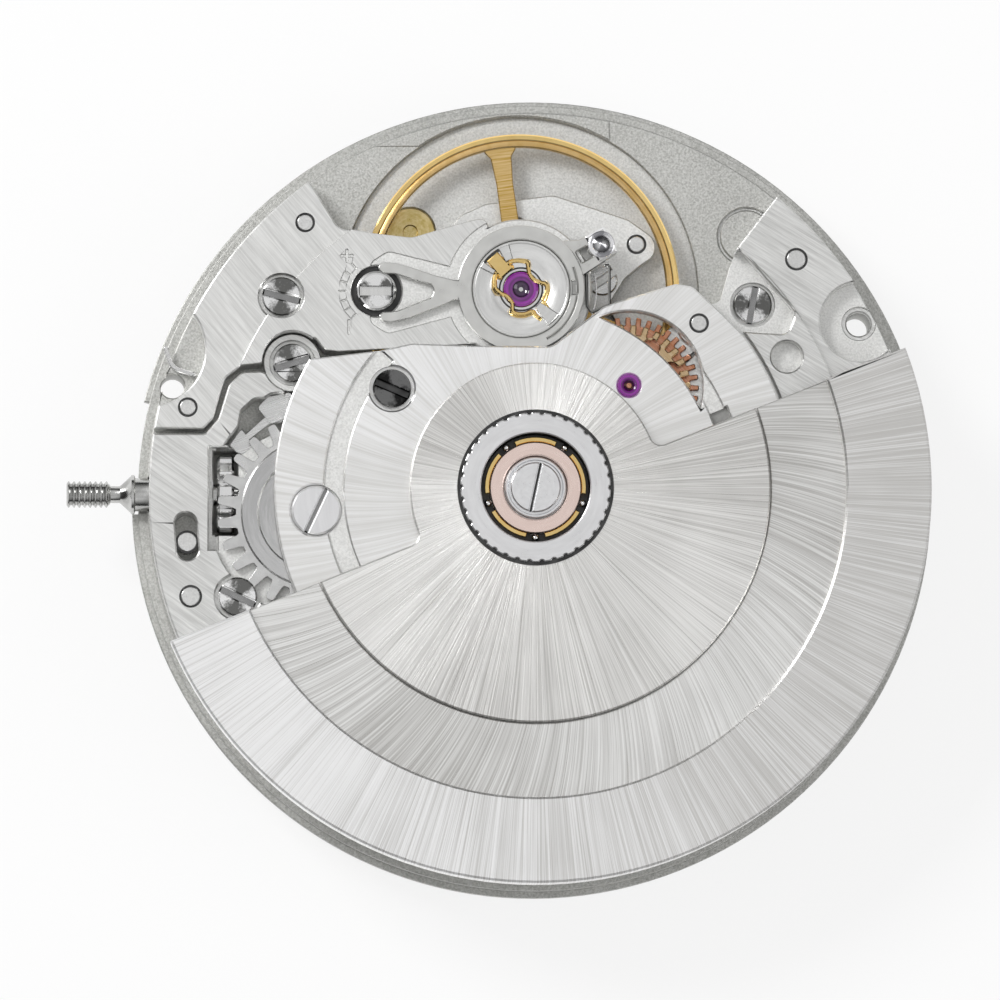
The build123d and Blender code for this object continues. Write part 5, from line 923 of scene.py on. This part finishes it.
made = Made()
turned(made, [(4.95, 2.28), (5.12, 2.28), (5.16, 2.32), (5.16, 2.54), (5.11, 2.59), (4.99, 2.6), (4.95, 2.57),
    (4.95, 2.28)], BALANCE, n=200)
# the inner band takes the darker gold, painted shade
inner_band = [(4.73, 2.32), (4.77, 2.28), (4.96, 2.28), (4.96, 2.54), (4.93, 2.56), (4.78, 2.56), (4.73, 2.52),
    (4.73, 2.32)]
turned(made, inner_band, BALANCE, n=200, mat=1)
piece("balance_rim_look", made, "balance", [gold_polished, gold_deep], ["balance_wheel"])
arms = Made()
face = disc(0.62, BALANCE)
ARM = [(0, -0.3), (3.6, -0.27), (4.45, -0.34), (4.8, -0.62), (4.8, 0.62), (4.45, 0.34), (3.6, 0.27), (0, 0.3)]
for turn in (98, 218, 338):
    face = face + shape(placed(ARM, turn, BALANCE), 0.2)
slab(arms, face - disc(0.2, BALANCE), 2.37, 2.51)
piece("balance_arms_look", arms, "balance", [gold_satin], ())
made = Made()
turned(made, [(0.07, 0.67), (0.07, 0.9), (0.2, 0.95), (0.2, 1.98), (0.72, 1.98), (0.72, 2.12), (0.22, 2.12),
    (0.22, 2.72), (0.45, 2.72), (0.45, 2.88), (0.22, 2.88), (0.2, 3.1), (0.07, 3.12), (0.07, 3.39), (0, 3.39)],
    BALANCE)
turned(made, [(0.08, 1.55), (0.08, 2), (0, 2)], polar(0.5, heading(BALANCE, FORK), BALANCE))
look("balance_staff", made, [polished], "balance")

# hairspring: eight turns of 72 steps, the outer end at the stud
INNER, OUTER, STEPS = 0.49, 2.48, 8 * 72
spring = [(INNER + (OUTER - INNER) * i / STEPS, STUD - 5 * (STEPS - i)) for i in range(STEPS + 1)]
spring_face = strip([polar(r, a, BALANCE) for r, a in spring], 0.04, steps=1, ends=False)
look("hairspring", slab(Made(), spring_face, 2.72, 2.88, bevel=0.004), [steel], "stud")

# Winding works

made = Made()
x = -15.1
profile = [(0, x), (0.36, x)]
while x < -13.78:
    profile += [(0.43, x + 0.05), (0.43, x + 0.08), (0.35, x + 0.13), (0.35, x + 0.15)]
    x += 0.175
profile += [(0.275, -13.68), (0.275, -13.4), (0.3, -13.35), (0.6, -13.03), (0.64, -13), (0.64, -12.92), (0.6, -12.9),
    (0.54, -12.88), (0.54, -11.3), (0.34, -11.3), (0.34, -10.94), (0.54, -10.94), (0.54, -10.38), (0.35, -10.36),
    (0.35, -7.7), (0.17, -7.68), (0.17, -7.1), (0, -7.1)]
turned(made, profile, place=along_x, n=48)
stem_steel = metal("stem_steel", (0.55, 0.55, 0.54), 0.17, shade=0.12, bump=0.05)
look("winding_stem", made, [stem_steel], "stem")

made = Made()
slab(made, gear(10, 1.29, 0.88, phase=180, tip_share=0.2, root_share=0.36) - disc(0.37), -10.24, -9.68, bevel=0.09)
made.points = [along_x(p) for p in made.points]
look("winding_pinion", made, [polished], "winder")

made = Made()
stack(made, [(gear(26, 3.18, 2.58, CROWN, 172.6, 0.15, 0.3) - disc(0.965, CROWN), *WHEEL),
    (ring(2.42, 1.84, CROWN), 2.8, 2.98)], [(ring(1.84, 0.965, CROWN), 2.84, 3.2, 1)], bevel=0.06)
slab(made, ring(2.36, 1.9, CROWN), 2.975, 2.985, bevel=0, mat=1)
look("crown_wheel", made, [crown_steel, crown_disc], "crown_wheel")

RATCHET_PHASE = mesh_phase(26, 172.6, 24, heading(CROWN, BARREL))
made = Made()
stack(made, [(gear(24, 2.956, 2.356, BARREL, RATCHET_PHASE, 0.15, 0.3) - disc(0.5, BARREL), *WHEEL)],
    [(disc(0.92, BARREL), 2.76, 3)], bevel=0.05)
screw_head(made, BARREL, 0.89, 2.76, 2.9, 0, slot=0.2, dark=1, depth=0.08)
piece("ratchet_wheel_look", made, "ratchet", [steel, shadow_black], ["ratchet_wheel", "barrel_arbor"])

tail = shape([(-9.45, 2.1), (-9.86, 1.52), (-9.62, 1.3), (-9.07, 1.02), (-8.89, 1.19), (-9.2, 1.75)], 0.08)
hook = shape([(-8.95, 2.75), (-8.5, 2.2), (-8.1, 2.35), (-7.5, 2.9), (-7.9, 3.25), (-8.6, 3.1)], 0.15)
look("stop_lever", stack(Made(), [(stop_face() + tail, 2.28, 2.44), (hook, 2.3, 2.47)]), [steel],
    "stop_lever")
look("click", slab(Made(), disc(0.34, (-7.1, -9)) + bar((-7.1, -9), (-6.684, -8.695), 0.24), *WHEEL), [steel],
    "click")

# Automatic works


def wheel_face(teeth, module, c, phase):
    """Toothed wheel with spokes."""
    face, spokes, hub = module_gear(teeth, module, c, phase), 4, 0.75
    r = teeth * module / 2
    for k in range(spokes):
        a = phase + (k + 0.14) * 360 / spokes
        face = face - sector(r - 3.2 * module, hub, a, a + 0.72 * 360 / spokes, c)
    return face


for name, c in (("reverser_a_upper", REVERSER_A), ("reverser_b_upper", REVERSER_B)):
    made = Made()
    phase = mesh_phase(42, 0, 30, heading((0, 0), c))
    face = gear(30, 2, 1.69, c, phase, 0.19, 0.27) - disc(0.215, c)
    face = face - discs(0.28, [polar(1.45, 20 + 40 * k, c) for k in range(9)])
    slab(made, face, 3.34, 3.46, bevel=0.035)
    look(name, made, [gold_wheel], name)
LOWER_PHASE = mesh_phase(40, 0, 40, heading(REVERSER_A, REVERSER_B))
LOWER = (("reverser_a_lower", REVERSER_A, 0, 2.9), ("reverser_b_lower", REVERSER_B, LOWER_PHASE, 2.58))
for name, c, phase, low in LOWER:
    made = Made()
    slab(made, gear(40, 2.288, 2.02, c, phase, 0.19, 0.27), 2.95, 3.08)
    turned(made, [(0.08, low - 0.2), (0.2, low), (0.2, 3.49), (0.08, 3.5), (0.08, 3.73), (0, 3.73)], c)
    if name == "reverser_b_lower":
        slab(made, module_gear(8, 0.14, c), *WHEEL, bevel=0.02)
    look(name, made, [copper], name)

ARBOR = [(0.08, 2.35), (0.2, 2.58), (0.2, 3.14), (0.08, 3.15), (0.08, 3.36), (0, 3.36)]
made = Made()
slab(made, wheel_face(48, 0.14, REDUCTION, mesh_phase(8, 0, 48, -130)), *WHEEL)
slab(made, module_gear(8, 0.175, REDUCTION), *UPPER_WHEEL, bevel=0.02)
turned(made, ARBOR, REDUCTION)
look("reduction_wheel", made, [copper], "reduction")
made = Made()
slab(made, wheel_face(48, 0.175, DRIVING, mesh_phase(8, 0, 48, heading(REDUCTION, DRIVING))), *UPPER_WHEEL)
slab(made, gear(8, 1.172, 0.572, DRIVING, mesh_phase(24, RATCHET_PHASE, 8, heading(BARREL, DRIVING)), 0.15, 0.3),
    *WHEEL)
turned(made, ARBOR, DRIVING)
look("driving_wheel", made, [copper], "driving")

# Oscillating weight: its cut line's turn, and how far the line is from the middle

CUT = 22
CUT_OFF = -0.25


def web_outline():
    """Hub and straight edges with a fillet where they meet."""
    r, f = 4.05, 0.35
    out = []
    for side in (1, -1):
        across = CUT_OFF + f
        along = sqrt((r + f) ** 2 - across**2) * side
        c = placed([(along, across)], CUT)[0]
        hub_turn = heading((0, 0), c)
        start = hub_turn + 180
        turn = (CUT - 90 - start + 180) % 360 - 180
        out.append((hub_turn, [polar(f, start + turn * k / 8, c) for k in range(9)]))
    (right_turn, right), (left_turn, left) = out
    hub_arc = arc(r, right_turn, left_turn if left_turn > right_turn else left_turn + 360)
    left_end, right_end = placed([(-20, CUT_OFF), (20, CUT_OFF)], CUT)
    far = [left_end, polar(40, CUT - 120), polar(40, CUT - 60), right_end]
    return loop(right[::-1] + hub_arc[1:-1] + left + far)


web_face = web_outline()
web = Made()
slab(web, (web_face & disc(7.57)) - disc(2.24), 3.9, 4.3, bevel=0.05)
slab(web, (web_face & disc(10.5)) - disc(7.6), 3.9, 4.12, mat=1)
look("rotor_web", web, [rotor_ray, band_ray], "rotor")
o = placed([(0, CUT_OFF)], CUT)[0]
below = disc(12.75) & loop(placed([(-20, 0), (-20, -20), (20, -20), (20, 0)], CUT, o))
look("rotor_weight", stack(Made(), [(below - disc(10), 4.12, 4.6), (below - disc(10.55), 3.35, 4.12)], bevel=0.07),
    [rim_ray], "rotor")

race = Made()
flange = disc(2.42) - discs(0.085, [polar(2.44, 360 * k / 38) for k in range(38)], 16)
slab(race, flange - disc(1.76), 4.34, 4.44, bevel=0.035)
# painted shadow: near-black rings under the notched flange
slab(race, ring(2.52, 1.76), 4.28, 4.34, bevel=0, mat=1)
slab(race, ring(2.2, 1.76), 3.5, 4.3, bevel=0, mat=1)
slab(race, module_gear(42, 0.126) - disc(1.74), 3.34, 3.5, bevel=0.02)
look("outer_race", race, [ring_steel, shadow_black], "rotor")

made = Made()
turned(made, [(1, 3.95), (1.46, 3.95), (1.46, 4.02), (1.4, 4.1), (1.46, 4.18), (1.47, 4.27), (1.44, 4.3),
    (1.08, 4.3), (1.04, 4.27), (1, 3.95)])
look("inner_race", made, [copper_race])
cage = Made()
# painted shadow: near-black ring beneath the cage's gaps
slab(cage, ring(1.72, 1.5), 3.91, 3.94, bevel=0, mat=1)
for k in range(5):
    a = 90 + 72 * k
    slab(cage, sector(1.635, 1.49, a - 25, a + 25), 3.94, 4.26, bevel=0.02)
look("ball_cage", cage, [gold_polished, shadow_black], "bearing")
balls = Made()
for k in range(5):
    c = polar(1.61, 54 + 72 * k)
    turned(balls, [(0.115 * sin(radians(t)), 4.1 - 0.115 * cos(radians(t))) for t in range(0, 181, 12)], c, n=24)
look("bearing_balls", balls, [polished], "bearing")
made = Made()
turned(made, [(0.98, 4.1), (0.98, 4.29), (0.95, 4.32), (0.9, 4.32), (0.87, 4.27), (0, 4.26)], mat=2)
screw_head(made, (0, 0), 0.81, 4.27, 4.42, 78, slot=0.07, dark=1, depth=0.1)
look("rotor_screw", made, [ring_steel, shadow_black, ring_steel])

# Dial side

hour = Made()
slab(hour, module_gear(40, 0.096) - disc(0.6), 0.3, 0.42, bevel=0.02)
slab(hour, module_gear(24, 0.14) - disc(0.6), 0.14, 0.22, bevel=0.01)
turned(hour, [(0.6, 0.42), (0.6, -1), (0.72, -1), (0.75, -0.97), (0.75, 0.14), (1.1, 0.14), (1.1, 0.42),
    (0.6, 0.42)])
look("hour_wheel", hour, [brass_plain], "hour")
made = Made()
turned(made, [(0.3, 0.6), (0.3, -1.45), (0.42, -1.45), (0.45, -1.42), (0.45, -1.04), (0.56, -1.04), (0.58, -1.01),
    (0.58, 0.48), (0.3, 0.48)])
slab(made, module_gear(12, 0.1, phase=15) - disc(0.3), 0.48, 0.62, bevel=0.01)
look("cannon_pinion", made, [polished], "cannon")
inner_teeth = gear(31, 9.15, 8.76, tip_share=0.3, root_share=0.46)
look("date_ring", stack(Made(), [(disc(10.95) - inner_teeth, 0.1, 0.18), (disc(9.55) - inner_teeth, 0.18, 0.31)],
    bevel=0.02), [enamel.owner], "date_ring")

# The CAD pieces that stay

LEFT = ((brass_plain, ("barrel_drum", "intermediate_wheel", "third_wheel", "seconds_wheel", "date_wheel")),
    (polished, ("escape_wheel", "pallet_fork", "sliding_pinion")),
    (steel, ("mainspring", "minute_wheel", "date_jumper", "setting_wheel", "transfer_wheel", "setting_lever",
    "yoke")))
for material, nodes in LEFT:
    for node in nodes:
        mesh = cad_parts[node].data
        mesh.materials.clear()
        mesh.materials.append(material)

# Studio


def flat_card(name, place, size, material):
    mesh = bpy.data.meshes.new(name)
    w = size / 2 * MM
    mesh.from_pydata([(-w, -w, 0), (w, -w, 0), (w, w, 0), (-w, w, 0)], [], [(0, 1, 2, 3)])
    mesh.materials.append(material)
    obj = add_object(name, mesh, place)
    obj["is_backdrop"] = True
    return obj


n = new_material("floor_white")
n.set({"Base Color": (0.9, 0.9, 0.9, 1), "Roughness": 0.9})
glow = n.node("Emission", {"Color": (1, 1, 1, 1), "Strength": 1})
path = n.node("LightPath").outputs
seen = n.math("MAXIMUM", path["Is Glossy Ray"], path["Is Transmission Ray"])
share = n.math("MULTIPLY", n.math("MAXIMUM", path["Is Camera Ray"], seen), 0.8)
mix = n.node("MixShader", {0: share, 1: n.shader.outputs[0], 2: glow.outputs[0]})
flat_card("floor", (0, 0, -2.05), 3000, n.show(mix.outputs[0]))

# soft patches of light and dark for the polished steel to show
n = new_material("overhead_card")
place = n.node("TexCoord").outputs["Object"]
stretched = n.node("Mapping", {"Vector": place, "Rotation": (0, 0, 0.6), "Scale": (26, 9, 1)})
wave = n.noise(stretched.outputs[0], 1, 1, 0.4)
glow = n.node("Emission", {"Color": (1, 1, 1, 1), "Strength": n.ramp(wave, 0.5, 0.8, 0.35, 0.65)})
card = flat_card("overhead_card", (0, 25, 190), 260, n.show(glow.outputs[0]))
card.visible_camera = card.visible_diffuse = card.visible_shadow = False


def lamp(name, place, size, power):
    """Soft lamp that looks at the origin."""
    data = bpy.data.lights.new(name, "AREA")
    data.size, data.energy = size * MM, power
    obj = add_object(name, data, place)
    obj.rotation_euler = (-obj.location).to_track_quat("-Z", "Y").to_euler()
    obj.visible_camera = False
    obj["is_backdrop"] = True


lamp("key", (-160, 120, 230), 90, 0.42)
lamp("fill", (200, -60, 180), 160, 0.12)
lamp("edge", (-230, 130, 45), 90, 0.2)

world = bpy.data.worlds.new("studio")
bpy.context.scene.world = world
wires = Nodes(world)
path = wires.node("LightPath").outputs
# the sky darkens towards the horizon for what shines, so that edges read; the floor behind stays white
sight = wires.node("TexCoord").outputs["Generated"]
height = wires.node("SeparateXYZ", {0: sight}).outputs[2]
sky = wires.ramp(height, 0.04, 0.8, 0.15, 0.95, interpolation_type="SMOOTHSTEP")
plain = wires.node("Mix", {0: path["Is Camera Ray"], 2: 0.55, 3: 1}).outputs[0]
level = wires.node("Mix", {0: path["Is Glossy Ray"], 2: plain, 3: sky}).outputs[0]
back = wires.tree.nodes["Background"]
wires.tree.links.new(level, back.inputs["Strength"])
back.inputs["Color"].default_value = (1, 1, 1, 1)

scene = bpy.context.scene
scene.view_settings.view_transform = "Standard"

camera_data = bpy.data.cameras.new("camera")
camera = add_object("camera", camera_data)
scene.camera = camera
DISTANCE = 350
SENSOR, PICTURE = 36, 1000
camera_data.lens = SENSOR * DISTANCE / (PICTURE / PIXELS)
camera_data.clip_start, camera_data.clip_end = 0.01, 10
target = Vector((-1.016, 0.0065, 0)) * MM
away = Vector((-LEAN_X, -LEAN_Y, 0.9949)).normalized()
camera.location = target + away * DISTANCE * MM
across = Vector((0, 1, 0)).cross(away).normalized()
camera.rotation_euler = Matrix((across, away.cross(across), away)).transposed().to_euler()

low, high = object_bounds()
{"cad": [list(cad_low), list(cad_high)], "visual": [list(low), list(high)]}
